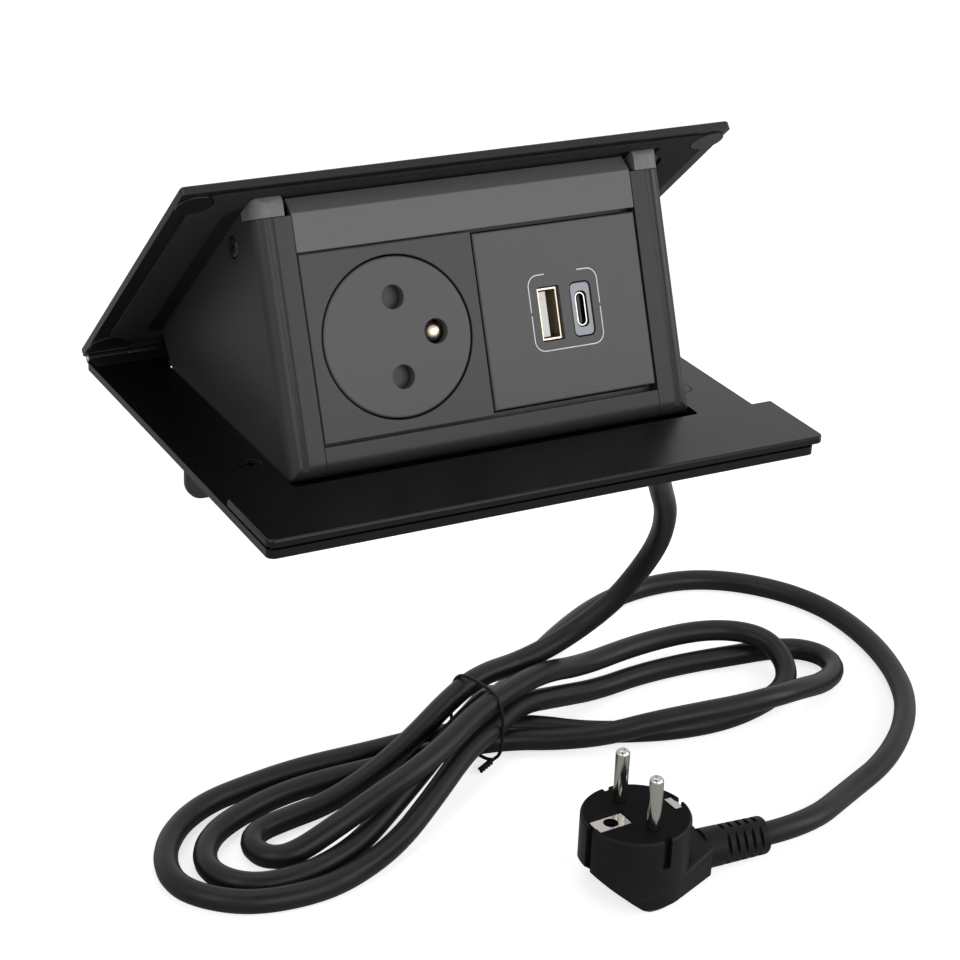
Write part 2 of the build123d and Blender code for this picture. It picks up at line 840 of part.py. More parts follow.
with BuildPart() as socket_cover:
    with BuildSketch(face_plane.offset(-socket_recess)):
        with Locations((socket_x, module_middle)):
            Rectangle(module_side, module_height - 2 * seam)
    extrude(amount=-cover_plate_thickness)
    chamfer(faces().sort_by(Axis(face_plane.origin, face_plane.z_dir))[-1].edges(), edge_break)
    with BuildSketch(face_plane):
        with Locations((socket_x, module_middle)):
            Circle(disc_hole_radius)
    extrude(amount=-cover_back - overrun, mode=Mode.SUBTRACT)
keep(socket_cover, "socket_cover")

# The disc a plug pushes in, with a skirt that guides it and the spring's end
disc_back = socket_recess + disc_thickness
skirt_back = disc_back + skirt_depth
chamber_floor = skirt_back + disc_travel + spring_solid_height
with BuildPart() as socket_disc:
    with BuildSketch(face_plane.offset(-socket_recess)):
        with Locations((socket_x, module_middle)):
            Circle(disc_radius)
    extrude(amount=-disc_thickness)
    chamfer(faces().sort_by(Axis(face_plane.origin, face_plane.z_dir))[-1].edges(), edge_break)
    with BuildSketch(face_plane.offset(-disc_back)):
        with Locations((socket_x, module_middle)):
            Circle(disc_radius)
            Circle(disc_radius - skirt_wall, mode=Mode.SUBTRACT)
    extrude(amount=-skirt_depth)
    with BuildSketch(face_plane):
        with Locations(pin_places):
            Circle(pin_hole_radius)
        with Locations(earth_place):
            Circle(earth_hole_radius)
    extrude(amount=-disc_back - overrun, mode=Mode.SUBTRACT)
keep(socket_disc, "socket_disc")

# Shutter behind the disc: two pads over the pin holes on one bar, which slides away from the earth pin
shutter_front = disc_back + shutter_gap
bar_width = shutter_pad / 2
with BuildPart() as shutter:
    with BuildSketch(face_plane.offset(-shutter_front)):
        with Locations(pin_places):
            Rectangle(shutter_pad, shutter_pad)
        with Locations((socket_x - shutter_pad / 2 - bar_width / 2, module_middle)):
            Rectangle(bar_width, pin_spacing)
    extrude(amount=-shutter_thickness)
keep(shutter, "shutter")

# Spring that brings the disc back, between its skirt and the floor of the chamber
coil_rise = chamber_floor - skirt_back - disc_spring_wire
disc_coil = face_spot(socket_x, module_middle, disc_spring_wire / 2 - chamber_floor) * Helix(
    coil_rise / disc_spring_turns, coil_rise, disc_spring_radius
)
with BuildPart() as disc_spring:
    with BuildSketch(Plane(origin=disc_coil @ 0, z_dir=disc_coil % 0)):
        Circle(disc_spring_wire / 2)
    sweep(path=disc_coil, is_frenet=True)
keep(disc_spring, "disc_spring")

# Body: a block with the disc's chamber, pockets for the pin sleeves and a bore for the earth pin
pocket_radius = contact_radius + pocket_clearance
pocket_floor = chamber_floor + contact_length + touch_gap
with BuildPart() as socket_body:
    with BuildSketch(face_plane.offset(-cover_back)):
        with Locations((socket_x, module_middle)):
            Rectangle(body_width, body_width)
            Circle(disc_hole_radius, mode=Mode.SUBTRACT)
    extrude(amount=cover_back - chamber_floor)
    with BuildSketch(face_plane.offset(-chamber_floor)):
        with Locations((socket_x, module_middle)):
            Rectangle(body_width, body_width)
        with Locations(earth_place):
            Circle(earth_pin_radius + pin_clearance, mode=Mode.SUBTRACT)
    extrude(amount=chamber_floor - body_depth)
    with BuildSketch(face_plane.offset(-chamber_floor)):
        with Locations(pin_places):
            Circle(pocket_radius)
    extrude(amount=chamber_floor - pocket_floor, mode=Mode.SUBTRACT)
    with BuildSketch(face_plane.offset(-pocket_floor)):
        with Locations(pin_places):
            Circle(terminal_radius + pin_clearance)
    extrude(amount=pocket_floor - body_depth, mode=Mode.SUBTRACT)
keep(socket_body, "socket_body")

# Earth pin, through the body to its terminal
with BuildPart() as earth_pin:
    with BuildSketch(face_plane.offset(-earth_pin_sunk)):
        with Locations(earth_place):
            Circle(earth_pin_radius)
    extrude(amount=earth_pin_sunk - body_depth - terminal_length)
    tip = earth_pin.faces().sort_by(Axis(face_plane.origin, face_plane.z_dir))[-1]
    fillet(tip.edges(), earth_pin_radius * dome_share)
keep(earth_pin, "earth_pin")

# Sleeves that grip the plug's pins, slit along their length, each with a tail out of the body's back
with BuildPart() as pin_contacts:
    with BuildSketch(face_plane.offset(-chamber_floor - touch_gap)):
        with Locations(pin_places):
            Circle(contact_radius)
            Circle(contact_bore, mode=Mode.SUBTRACT)
            with Locations((0, contact_radius)):
                Rectangle(contact_slot, contact_radius, mode=Mode.SUBTRACT)
    extrude(amount=-contact_length + contact_end)
    with BuildSketch(face_plane.offset(contact_end - pocket_floor)):
        with Locations(pin_places):
            Circle(contact_radius)
    extrude(amount=-contact_end)
    with BuildSketch(face_plane.offset(-pocket_floor)):
        with Locations(pin_places):
            Circle(terminal_radius)
    extrude(amount=pocket_floor - body_depth - terminal_length)
keep(pin_contacts, "pin_contacts")

# Charger module: a plate with two upright ports
charger_middle = module_middle + charger_raise
port_places = [(charger_x + port_a_x, port_middle), (charger_x + port_c_x, port_middle)]
with BuildPart() as usb_cover:
    with BuildSketch(face_plane.offset(-socket_recess)):
        with Locations((charger_x, charger_middle)):
            Rectangle(module_side, charger_height)
    extrude(amount=-cover_plate_thickness)
    chamfer(faces().sort_by(Axis(face_plane.origin, face_plane.z_dir))[-1].edges(), edge_break)
    with BuildSketch(face_plane):
        with Locations(port_places[0]):
            RectangleRounded(port_a_width + 2 * port_gap, port_height + 2 * port_gap, port_gap)
        with Locations(port_places[1]):
            RectangleRounded(
                port_c_insert_width + 2 * port_gap,
                port_c_insert_height + 2 * port_gap,
                port_c_insert_radius + port_gap,
            )
    extrude(amount=-cover_back - overrun, mode=Mode.SUBTRACT)
keep(usb_cover, "usb_cover")

with BuildPart() as usb_a_shell:
    with BuildSketch(face_plane.offset(-socket_recess - port_a_sunk)):
        with Locations(port_places[0]):
            Rectangle(port_a_width, port_height)
            Rectangle(port_a_width - 2 * shell_wall, port_height - 2 * shell_wall, mode=Mode.SUBTRACT)
    extrude(amount=-port_a_depth)
keep(usb_a_shell, "usb_a_shell")

tongue_x = charger_x + port_a_x - port_a_width / 2 + shell_wall + tongue_thickness / 2 + touch_gap
with BuildPart() as usb_a_tongue:
    with BuildSketch(face_plane.offset(-socket_recess - tongue_sunk)):
        with Locations((tongue_x, port_middle)):
            Rectangle(tongue_thickness, tongue_width)
    extrude(amount=tongue_sunk + socket_recess - board_depth)
keep(usb_a_tongue, "usb_a_tongue")

with BuildPart() as usb_c_insert:
    with BuildSketch(face_plane.offset(-socket_recess - port_c_sunk)):
        with Locations(port_places[1]):
            RectangleRounded(port_c_insert_width, port_c_insert_height, port_c_insert_radius)
            RectangleRounded(port_c_width, port_c_height, port_c_width / 2 - edge_break, mode=Mode.SUBTRACT)
    extrude(amount=-port_c_depth)
keep(usb_c_insert, "usb_c_insert")

port_c_shell_width = port_c_width - 2 * port_c_shell_gap
port_c_shell_height = port_c_height - 2 * port_c_shell_gap
port_c_bore = port_c_shell_width - 2 * fine_shell_wall
with BuildPart() as usb_c_shell:
    with BuildSketch(face_plane.offset(-socket_recess - port_c_shell_sunk)):
        with Locations(port_places[1]):
            SlotOverall(port_c_shell_height, port_c_shell_width, rotation=90)
            SlotOverall(
                port_c_shell_height - 2 * fine_shell_wall, port_c_bore, rotation=90, mode=Mode.SUBTRACT
            )
    extrude(amount=-port_c_depth)
keep(usb_c_shell, "usb_c_shell")

with BuildPart() as usb_c_tongue:
    with BuildSketch(face_plane.offset(-socket_recess - tongue_sunk)):
        with Locations(port_places[1]):
            Rectangle(fine_tongue_thickness, fine_tongue_width)
    extrude(amount=tongue_sunk + socket_recess - board_depth)
keep(usb_c_tongue, "usb_c_tongue")

board_side = body_width - 2 * (housing_wall + touch_gap)
with BuildPart() as usb_board:
    with BuildSketch(face_plane.offset(-board_depth)):
        with Locations((charger_x, module_middle)):
            Rectangle(board_side, board_side)
    extrude(amount=-board_thickness)
keep(usb_board, "usb_board")

with BuildPart() as usb_transformer:
    with BuildSketch(face_plane.offset(-board_depth - board_thickness)):
        with Locations((charger_x, module_middle)):
            Rectangle(transformer_size, transformer_size)
    extrude(amount=-transformer_height)
    chamfer(usb_transformer.edges().filter_by(Axis(face_plane.origin, face_plane.z_dir)), edge_break)
keep(usb_transformer, "usb_transformer")

with BuildPart() as usb_housing:
    with BuildSketch(face_plane.offset(-cover_back)):
        with Locations((charger_x, module_middle)):
            Rectangle(body_width, body_width)
    extrude(amount=cover_back - housing_depth)
    with BuildSketch(face_plane):
        with Locations((charger_x, module_middle)):
            Rectangle(body_width - 2 * housing_wall, body_width - 2 * housing_wall)
    extrude(amount=housing_wall - housing_depth, mode=Mode.SUBTRACT)
keep(usb_housing, "usb_housing")

# Press catch: a bolt in a small housing, out through the right cheek and under the plate when shut
catch_start = charger_x + body_width / 2 + touch_gap
bolt_start = cheek_outer - bolt_length
with BuildPart() as catch_body:
    with Locations(block_spot(catch_start, catch_s, catch_u, (0, 90, 0))):
        Box(
            catch_hole_u + 2 * catch_wall,
            catch_hole_s + 2 * catch_wall,
            cheek_inner - seam - catch_start,
            align=(Align.CENTER, Align.CENTER, Align.MIN),
        )
        with Locations((0, 0, catch_wall)):
            Box(
                catch_hole_u,
                catch_hole_s,
                cheek_inner - catch_start,
                align=(Align.CENTER, Align.CENTER, Align.MIN),
                mode=Mode.SUBTRACT,
            )
keep(catch_body, "catch_body")

with BuildPart() as catch_bolt:
    with Locations(block_spot(bolt_start, catch_s, catch_u, (0, 90, 0))):
        Box(bolt_height, bolt_width, bolt_length, align=(Align.CENTER, Align.CENTER, Align.MIN))
keep(catch_bolt, "catch_bolt")

catch_spring_rise = bolt_start - catch_start - catch_wall - catch_spring_wire
catch_base = catch_start + catch_wall + catch_spring_wire / 2
catch_coil = block_spot(catch_base, catch_s, catch_u, (0, 90, 0)) * Helix(
    catch_spring_rise / catch_spring_turns, catch_spring_rise, bolt_height / 2 - catch_spring_wire
)
with BuildPart() as catch_spring:
    with BuildSketch(Plane(origin=catch_coil @ 0, z_dir=catch_coil % 0)):
        Circle(catch_spring_wire / 2)
    sweep(path=catch_coil, is_frenet=True)
keep(catch_spring, "catch_spring")

# Rear bracket under the plate: a flange in its rebate, a web down to the cord, two lugs for the spring rod
# and an ear for the boot
web_front = cutout_rear + bracket_gap
web_rear = web_front + bracket_wall
rod_y = web_front - rod_y_gap
lug_x = bracket_half_width - rod_eye / 2
lug_radius = rod_radius + rod_eye_wall
bracket_rivet_places = [(x, leaf_middle) for x in rivet_places if abs(x) < bracket_half_width]
saddle_outer = cord_radius + cord_seat_gap + saddle_wall
saddle_screw_places = [
    (saddle_x + saddle_width / 2, saddle_z + step * (saddle_outer + saddle_ear / 2)) for step in (-1, 1)
]
cord_y = web_front - cord_radius - cord_seat_gap
cord_z = saddle_z
ear_x = boot_start_x + boot_flange
with BuildPart() as rear_bracket:
    with BuildSketch(Plane.XY.offset(bracket_rebate)):
        with Locations((0, web_front + bracket_flange / 2)):
            Rectangle(2 * bracket_half_width, bracket_flange)
    extrude(amount=-bracket_wall)
    with BuildSketch(Plane.XZ.offset(-web_front)):
        with Locations((0, (bracket_rebate - bracket_drop) / 2)):
            Rectangle(2 * bracket_half_width, bracket_drop + bracket_rebate)
        fillet(vertices().group_by(Axis.Y)[0], bracket_corner)
    extrude(amount=-bracket_wall)
    for sign in (-1, 1):
        with BuildSketch(Plane.YZ.offset(sign * lug_x - rod_eye / 2)):
            with Locations((rod_y, rod_z)):
                Circle(lug_radius)
            with Locations(((rod_y + web_rear) / 2, rod_z)):
                Rectangle(web_rear - rod_y, 2 * lug_radius)
            with Locations((rod_y, rod_z)):
                Circle(rod_radius + pin_clearance, mode=Mode.SUBTRACT)
        extrude(amount=rod_eye)
    with BuildSketch(Plane.YZ.offset(ear_x)):
        with Locations((cord_y, cord_z)):
            Circle(boot_flange_radius)
        with Locations(((cord_y + web_rear) / 2, cord_z)):
            Rectangle(web_rear - cord_y, 2 * boot_flange_radius)
        with Locations((cord_y, cord_z)):
            Circle(boot_neck_radius + pin_clearance, mode=Mode.SUBTRACT)
    extrude(amount=bracket_wall)
    with Locations([(x, y, 0) for x, y in bracket_rivet_places]):
        Hole(rivet_radius + pin_clearance)
    with Locations([Location((x, web_front, z), (90, 0, 0)) for x, z in saddle_screw_places]):
        Hole(small_shank_radius + pin_clearance)
keep(rear_bracket, "rear_bracket")

with BuildPart() as spring_rod:
    with Locations(Location((0, rod_y, rod_z), (0, 90, 0))):
        Cylinder(rod_radius, 2 * (lug_x + rod_eye))
    chamfer(spring_rod.edges().filter_by(GeomType.CIRCLE), edge_break)
keep(spring_rod, "spring_rod")


def corner_radii(points):
    """The largest arcs that a route's runs leave room for, one for each of its corners."""
    radii = []
    for before, corner, after in zip(points, points[1:], points[2:]):
        arriving = Vector(*corner) - Vector(*before)
        leaving = Vector(*after) - Vector(*corner)
        shorter = min(arriving.length, leaving.length)
        radii.append(run_share * shorter / math.tan(math.radians(arriving.get_angle(leaving)) / 2))
    return radii


def lay(label, routes, radius):
    """Round tubes along straight runs joined by tangent arcs, with their sizes printed."""
    expected = 0
    with BuildPart() as tube:
        for points in routes:
            radii = corner_radii(points)
            with BuildLine():
                route = FilletPolyline(*points, radius=radii)
            with BuildSketch(Plane(origin=route @ 0, z_dir=route % 0)):
                Circle(radius)
            sweep(path=route)
            expected += math.pi * radius**2 * route.length
            tightest = [round(r, 1) for r in sorted(radii)[:4]]
            print(label, "length", round(route.length, 1), "least radii", tightest)
    keep(tube, label)
    print("  volume over section times length", round(tube.part.volume / expected, 4))
    return route


# Lift springs: one coil at each end of the rod, a leg down the web and a leg forward to the block's rear
wire_radius = spring_wire / 2
leg_z = rod_z + spring_mean_radius
leg_front = wall_foot.Y + (leg_z + wire_radius - wall_foot.Z) * wall_up.Y / wall_up.Z + touch_gap
coil_length = spring_turns * spring_pitch
coil_step = 2 * math.pi / spring_sides
corner_reach = spring_mean_radius / math.cos(coil_step / 2)
spring_routes = []
for sign in (-1, 1):
    coil_start = sign * spring_x + coil_length / 2
    points = [(coil_start, leg_front, leg_z)]
    for i in range(int(spring_turns * spring_sides)):
        turn = (i + 0.5) * coil_step
        points.append(
            (
                coil_start - spring_pitch * (i + 0.5) / spring_sides,
                rod_y + corner_reach * math.sin(turn),
                rod_z + corner_reach * math.cos(turn),
            )
        )
    points.append((coil_start - coil_length, rod_y + spring_mean_radius, rod_z - spring_leg))
    spring_routes.append(points)
lay("lift_springs", spring_routes, wire_radius)

# Saddle: a strap over the lead with two ears on the web
with BuildPart() as cord_saddle:
    with BuildSketch(Plane.YZ.offset(saddle_x)):
        with Locations((cord_y, cord_z)):
            Circle(saddle_outer)
        with Locations(((cord_y + web_front) / 2, cord_z)):
            Rectangle(web_front - cord_y, 2 * saddle_outer)
        with Locations((web_front - saddle_wall / 2, cord_z)):
            Rectangle(saddle_wall, 2 * (saddle_outer + saddle_ear))
        with Locations((web_front + saddle_outer, cord_z)):
            Rectangle(2 * saddle_outer, 4 * (saddle_outer + saddle_ear), mode=Mode.SUBTRACT)
        with Locations((cord_y, cord_z)):
            Circle(cord_radius + cord_seat_gap / 2, mode=Mode.SUBTRACT)
        with Locations(((cord_y + web_front) / 2, cord_z)):
            Rectangle(web_front - cord_y, 2 * cord_radius + cord_seat_gap, mode=Mode.SUBTRACT)
    extrude(amount=saddle_width)
    with Locations([Location((x, web_front, z), (90, 0, 0)) for x, z in saddle_screw_places]):
        Hole(small_shank_radius + pin_clearance)
keep(cord_saddle, "cord_saddle")

with BuildPart() as saddle_screws:
    for x, z in saddle_screw_places:
        with Locations(Location((x, web_front - saddle_wall, z), (90, 0, 0))):
            Cylinder(pan_head_radius, pan_head_height, align=(Align.CENTER, Align.CENTER, Align.MIN))
            Cylinder(
                small_shank_radius,
                saddle_wall + bracket_wall,
                align=(Align.CENTER, Align.CENTER, Align.MAX),
            )
        cross_recess(
            Location((x, web_front - saddle_wall - pan_head_height, z), (90, 0, 0)),
            pan_head_radius / 2,
            pan_head_height / 2,
        )
keep(saddle_screws, "saddle_screws")

# Boot: moulded round the cord, its neck clipped into the bracket's ear
boot_end = boot_start_x + boot_length
boot_cone_start = ear_x + bracket_wall
with BuildPart() as cord_boot:
    with BuildSketch(Plane(origin=(boot_start_x, cord_y, cord_z), x_dir=(0, 0, 1), z_dir=(0, 1, 0))):
        with BuildLine():
            Polyline(
                (0, 0),
                (boot_flange_radius, 0),
                (boot_flange_radius, boot_flange),
                (boot_neck_radius, boot_flange),
                (boot_neck_radius, boot_flange + bracket_wall),
                (boot_root_radius, boot_flange + bracket_wall),
                (boot_tip_radius, boot_length),
                (0, boot_length),
                close=True,
            )
        make_face()
    revolve(axis=Axis((boot_start_x, cord_y, cord_z), (1, 0, 0)))
    groove_pitch = (boot_end - boot_cone_start) / (boot_groove_count + 1)
    for i in range(boot_groove_count):
        with Locations(Location((boot_cone_start + (i + 1) * groove_pitch, cord_y, cord_z), (0, 90, 0))):
            Cylinder(boot_root_radius + overrun, groove_pitch / 2, mode=Mode.SUBTRACT)
            Cylinder(boot_tip_radius - boot_groove_depth, groove_pitch / 2)
    with Locations((boot_start_x, web_front - cord_seat_gap, cord_z)):
        Box(
            boot_length,
            boot_flange_radius,
            2 * boot_flange_radius,
            align=(Align.MIN, Align.MIN, Align.CENTER),
            mode=Mode.SUBTRACT,
        )
keep(cord_boot, "cord_boot")

# Lead: from the boot through the saddle and up into the block, square to its rear wall
lead_route = [
    (boot_start_x, cord_y, cord_z),
    (8, cord_y, cord_z),
    (-7, 48.3, -31.5),
    (-18, 44, -28),
    tuple(lead_end + wall_normal * lead_straight),
    tuple(lead_end - wall_normal * cover_wall),
]
lay("inner_lead", [lead_route], cord_radius)

# Cord from the boot down to the floor, where it turns back on itself
drop_route = [
    (boot_end, cord_y, cord_z),
    (boot_end + boot_straight, cord_y, cord_z),
    (98, 60, -41),
    (114, 77.5, -56),
    (127, 97, -74),
    (139.8, 115.8, -91),
    (152.7, 133.2, -107.4),
    (164.2, 145.3, -123.7),
    (170.4, 157.7, -142.2),
    (168.7, 166.8, -158.2),
    (161.5, 172.9, -173.1),
    (145.7, 177.9, -186.5),
    (127.3, 178.6, -193),
]
# Loose end, from the tied waist round to the plug
loose_route = [
    (140.3, 200),
    (168.7, 221.1),
    (195.5, 236.1),
    (217, 240.9),
    (235.7, 240.4),
    (250.8, 233.8),
    (263, 222.7),
    (272.6, 208.1),
    (278, 188),
    (276.1, 158.4),
    (266.1, 128.9),
    (250.5, 107.8),
    (228.2, 89.6),
    (205.7, 79.4),
]

# Hank: folds of the cord tied at a waist, three to the left and two to the right. A fold's table gives its
# points as shares of its reach from the waist and of its half width, and the layer that each point lies in.
inner_fold_shares = (
    (-0.070, 0.484, 2.1), (0.091, 0.319, 1.85), (0.303, 0.108, 1.15), (0.476, 0.070, 0.4),
    (0.655, 0.038, 0), (0.822, 0.080, 0), (0.939, 0.070, 0), (1.000, -0.211, 0),
    (1.000, -0.610, 0), (0.939, -0.892, 0.15), (0.781, -0.995, 0.85), (0.604, -1.000, 1.45),
    (0.451, -0.958, 1.8), (0.279, -0.751, 2.05), (0.124, -0.479, 2.1),
)
short_fold_shares = (
    (-0.019, -0.140, 2.13), (-0.214, -0.005, 2.0), (-0.416, 0.128, 1.2), (-0.647, 0.156, 1.05),
    (-0.848, 0.035, 1.05), (-0.954, -0.174, 1.05), (-1.000, -0.442, 1.0), (-0.996, -0.702, 0.45),
    (-0.935, -0.895, 0.05), (-0.820, -0.988, 0), (-0.655, -1.000, 0), (-0.505, -0.872, 0),
    (-0.371, -0.642, 0), (-0.260, -0.386, 0), (-0.158, -0.112, 0), (-0.059, 0.065, 0),
    (0.032, 0.167, 0),
)
outer_fold_shares = (
    (0.124, 0.302, 0), (0.272, 0.473, 0), (0.455, 0.632, 0), (0.619, 0.673, 0),
    (0.746, 0.665, 0), (0.865, 0.499, 0), (0.957, 0.199, 0), (1.000, -0.176, 0),
    (0.974, -0.499, 0), (0.901, -0.801, 0), (0.778, -0.972, 0), (0.657, -1.000, 0),
    (0.482, -0.867, 0.1), (0.316, -0.632, 0.6), (0.141, -0.363, 1),
)
long_fold_shares = (
    (0.007, -0.167, 1.05), (-0.105, -0.052, 1.13), (-0.256, -0.006, 0.65), (-0.395, 0.035, 0.05),
    (-0.539, 0.019, 0), (-0.685, -0.075, 0), (-0.818, -0.208, 0), (-0.915, -0.300, 0),
    (-0.981, -0.438, 0), (-1.000, -0.640, 0), (-0.961, -0.823, 0.02), (-0.874, -0.923, 0.2),
    (-0.760, -0.985, 0.75), (-0.653, -1.000, 1.02), (-0.550, -0.946, 1.05), (-0.439, -0.844, 1.05),
    (-0.327, -0.698, 0.85), (-0.231, -0.546, 0.45), (-0.139, -0.337, 0.0), (-0.063, -0.165, 0),
)
middle_fold_shares = (
    (0.040, -0.058, 0), (0.186, 0.109, 0), (0.344, 0.304, 0), (0.496, 0.461, 0),
    (0.634, 0.519, 0), (0.769, 0.464, 0), (0.884, 0.324, 0), (0.964, 0.055, 0),
    (1.000, -0.297, 0), (0.977, -0.655, 0), (0.906, -0.904, 0), (0.779, -1.000, 0),
    (0.619, -0.898, 0.05), (0.460, -0.666, 0.5), (0.307, -0.427, 0.95), (0.166, -0.174, 1.08),
    (0.024, 0.089, 1.1), (-0.089, 0.348, 1.0),
)
folds = (
    (inner_fold_reach, inner_fold_width, inner_fold_shares),
    (short_fold_reach, short_fold_width, short_fold_shares),
    (outer_fold_reach, outer_fold_width, outer_fold_shares),
    (long_fold_reach, long_fold_width, long_fold_shares),
    (middle_fold_reach, middle_fold_width, middle_fold_shares),
)
waist_cos = math.cos(math.radians(waist_heading))
waist_sin = math.sin(math.radians(waist_heading))


def on_waist(along, across, layer):
    """A point of the hank, along and across from its waist, on a layer that the tie lifts off the floor."""
    lift = waist_lift if abs(along) < waist_half_length else 0
    return (
        waist_x + along * waist_cos - across * waist_sin,
        waist_y + along * waist_sin + across * waist_cos,
        floor_z + cord_radius + layer * layer_pitch + lift,
    )


def partway(start, end, share):
    """A point on the straight run between two others."""
    return tuple(a + (b - a) * share for a, b in zip(start, end))


hank_points = []
for reach, width, shares in folds:
    for along, across, layer in shares:
        hank_points.append(on_waist(reach * along, -width * across, layer))
lead_points = [(x, y, floor_z + cord_radius) for x, y in loose_route]
hank_exit = (122.3, 184, floor_z + cord_radius + waist_lift)
hank_start = partway(drop_route[-1], hank_points[0], join_share)
hank_end = partway(hank_exit, lead_points[0], 1 - join_share)
lay("cord_drop", [drop_route + [hank_start]], cord_radius)
hank_line = lay("cord_hank", [[hank_start] + hank_points + [hank_exit, hank_end]], cord_radius)

# Least gap of the hank to itself, measured on points a millimetre apart
steps = int(hank_line.length)
spots = [hank_line @ (i / steps) for i in range(steps + 1)]
apart = int(4 * cord_diameter)
least = min(
    (spots[i] - spots[j]).length for i in range(len(spots)) for j in range(i + apart, len(spots))
)
print("hank least gap", round(least - cord_diameter, 2))

# Plug: it lies with its pins up and its face level. Local x points to the cord. A round upper part stands on
# a lower shell that narrows to the cord, and its heel is cut off at a slope
plug_place = Location((plug_x, plug_y, floor_z), (0, 0, plug_heading))
pin_place = Location((plug_x, plug_y, floor_z), (0, 0, pin_heading))
face_z = plug_height
clip_rim = plug_radius - clip_inset
relief_start = plug_radius + neck_length / 2
shell_radius = plug_radius + shell_step
shell_top = relief_height + neck_radius
plug_upright = Plane(plug_place * Location((0, 0, 0), (90, 0, 0)))
clip_places = [
    (
        pin_place * Location((0, 0, face_z)),
        plug_radius - earth_clip_length / 2,
        plug_height - shell_top,
    ),
    (pin_place * Location((0, 0, face_z), (0, 0, 180)), earth_clip_inner, clip_slot_length),
]
with BuildPart() as plug_shell:
    with BuildSketch(Plane(plug_place)):
        Circle(shell_radius)
        with Locations((relief_start, 0)):
            Circle(neck_radius)
        make_hull()
    extrude(amount=shell_top)
    with BuildSketch(plug_upright):
        with BuildLine():
            Polyline(
                (-shell_radius - overrun, shell_low),
                (-shell_radius, shell_low),
                (relief_start + neck_radius + overrun, shell_top),
                (relief_start + neck_radius + overrun, shell_top + overrun),
                (-shell_radius - overrun, shell_top + overrun),
                close=True,
            )
        make_face()
    extrude(amount=shell_radius + overrun, both=True, mode=Mode.SUBTRACT)
    fillet(faces().sort_by(Axis.Z)[-1].edges(), shell_rounding)
    chamfer(faces().sort_by(Axis.Z)[0].edges(), shell_bevel)
    with BuildSketch(Plane(plug_place * Location((relief_start, 0, 0), (0, 90, 0)))):
        Rectangle(2 * (shell_top + overrun), 2 * shell_radius)
    extrude(amount=neck_radius + overrun, mode=Mode.SUBTRACT)
    with BuildSketch(plug_upright):
        with BuildLine():
            Polyline(
                (relief_start - neck_reach, 0),
                (relief_start, neck_rise),
                (relief_start + overrun, neck_rise),
                (relief_start + overrun, -overrun),
                (relief_start - neck_reach, -overrun),
                close=True,
            )
        make_face()
    extrude(amount=shell_radius + overrun, both=True, mode=Mode.SUBTRACT)

with BuildPart() as plug_body:
    with BuildSketch(Plane(plug_place)):
        Circle(plug_radius)
    extrude(amount=plug_height)
    fillet(faces().sort_by(Axis.Z)[-1].edges(), plug_edge)
    chamfer(faces().sort_by(Axis.Z)[0].edges(), shell_bevel)
    add(plug_shell.part)
    with BuildSketch(plug_upright):
        with BuildLine():
            Polyline(
                (heel_reach - shell_radius, 0),
                (-shell_radius - overrun, heel_rise * (1 + overrun / heel_reach)),
                (-shell_radius - overrun, -overrun),
                (heel_reach - shell_radius, -overrun),
                close=True,
            )
        make_face()
    extrude(amount=shell_radius + overrun, both=True, mode=Mode.SUBTRACT)
    with Locations(pin_place * Location((0, 0, face_z))):
        with Locations((0, -pin_spacing / 2), (0, pin_spacing / 2)):
            Cylinder(plug_pin_neck_radius + pin_clearance / 2, 2 * plug_pin_root, mode=Mode.SUBTRACT)
        with Locations((-earth_offset, 0)):
            Cylinder(earth_clip_hole, 2 * plug_pin_length, mode=Mode.SUBTRACT)
        with Locations((0, -plug_radius), (0, plug_radius)):
            Box(
                guide_width,
                2 * guide_depth,
                guide_length,
                align=(Align.CENTER, Align.CENTER, Align.MAX),
                mode=Mode.SUBTRACT,
            )
    for spot, clip_inner, slot_length in clip_places:
        with Locations(spot * Location((clip_inner, 0, 0))):
            Box(
                clip_rim + clip_margin - clip_inner,
                earth_clip_width + 2 * clip_margin,
                clip_recess + earth_clip_thickness,
                align=(Align.MIN, Align.CENTER, Align.MAX),
                mode=Mode.SUBTRACT,
            )
        with Locations(spot * Location((clip_rim - earth_clip_thickness - pin_clearance, 0, 0))):
            Box(
                clip_inset + earth_clip_thickness + overrun,
                clip_slot_width,
                slot_length,
                align=(Align.MIN, Align.CENTER, Align.MAX),
                mode=Mode.SUBTRACT,
            )
keep(plug_body, "plug_body")

with BuildPart() as plug_pins:
    for radius, low, high in (
        (plug_pin_neck_radius, -plug_pin_root, plug_pin_neck),
        (plug_pin_radius - pin_clearance / 2, plug_pin_neck, plug_pin_length),
    ):
        with Locations(pin_place * Location((0, 0, face_z + low))):
            with Locations((0, -pin_spacing / 2), (0, pin_spacing / 2)):
                Cylinder(radius, high - low, align=(Align.CENTER, Align.CENTER, Align.MIN))
    fillet(plug_pins.faces().group_by(Axis.Z)[-1].edges(), plug_pin_radius * dome_share)
keep(plug_pins, "plug_pins")

with BuildPart() as plug_earth_clips:
    for spot, clip_inner, slot_length in clip_places:
        with Locations(spot * Location((clip_inner + clip_margin, 0, -clip_recess))):
            Box(
                clip_rim - clip_inner - clip_margin,
                earth_clip_width,
                earth_clip_thickness - pin_clearance,
                align=(Align.MIN, Align.CENTER, Align.MAX),
            )
        with Locations(spot * Location((clip_rim - earth_clip_thickness / 2, 0, -clip_recess))):
            Box(
                earth_clip_thickness,
                earth_leg_width,
                earth_clip_length - pin_clearance,
                align=(Align.CENTER, Align.CENTER, Align.MAX),
            )
    with Locations(clip_places[1][0] * Location((earth_offset, 0, -clip_recess))):
        Cylinder(earth_clip_hole, 2 * earth_clip_thickness, mode=Mode.SUBTRACT)
keep(plug_earth_clips, "plug_earth_clips")

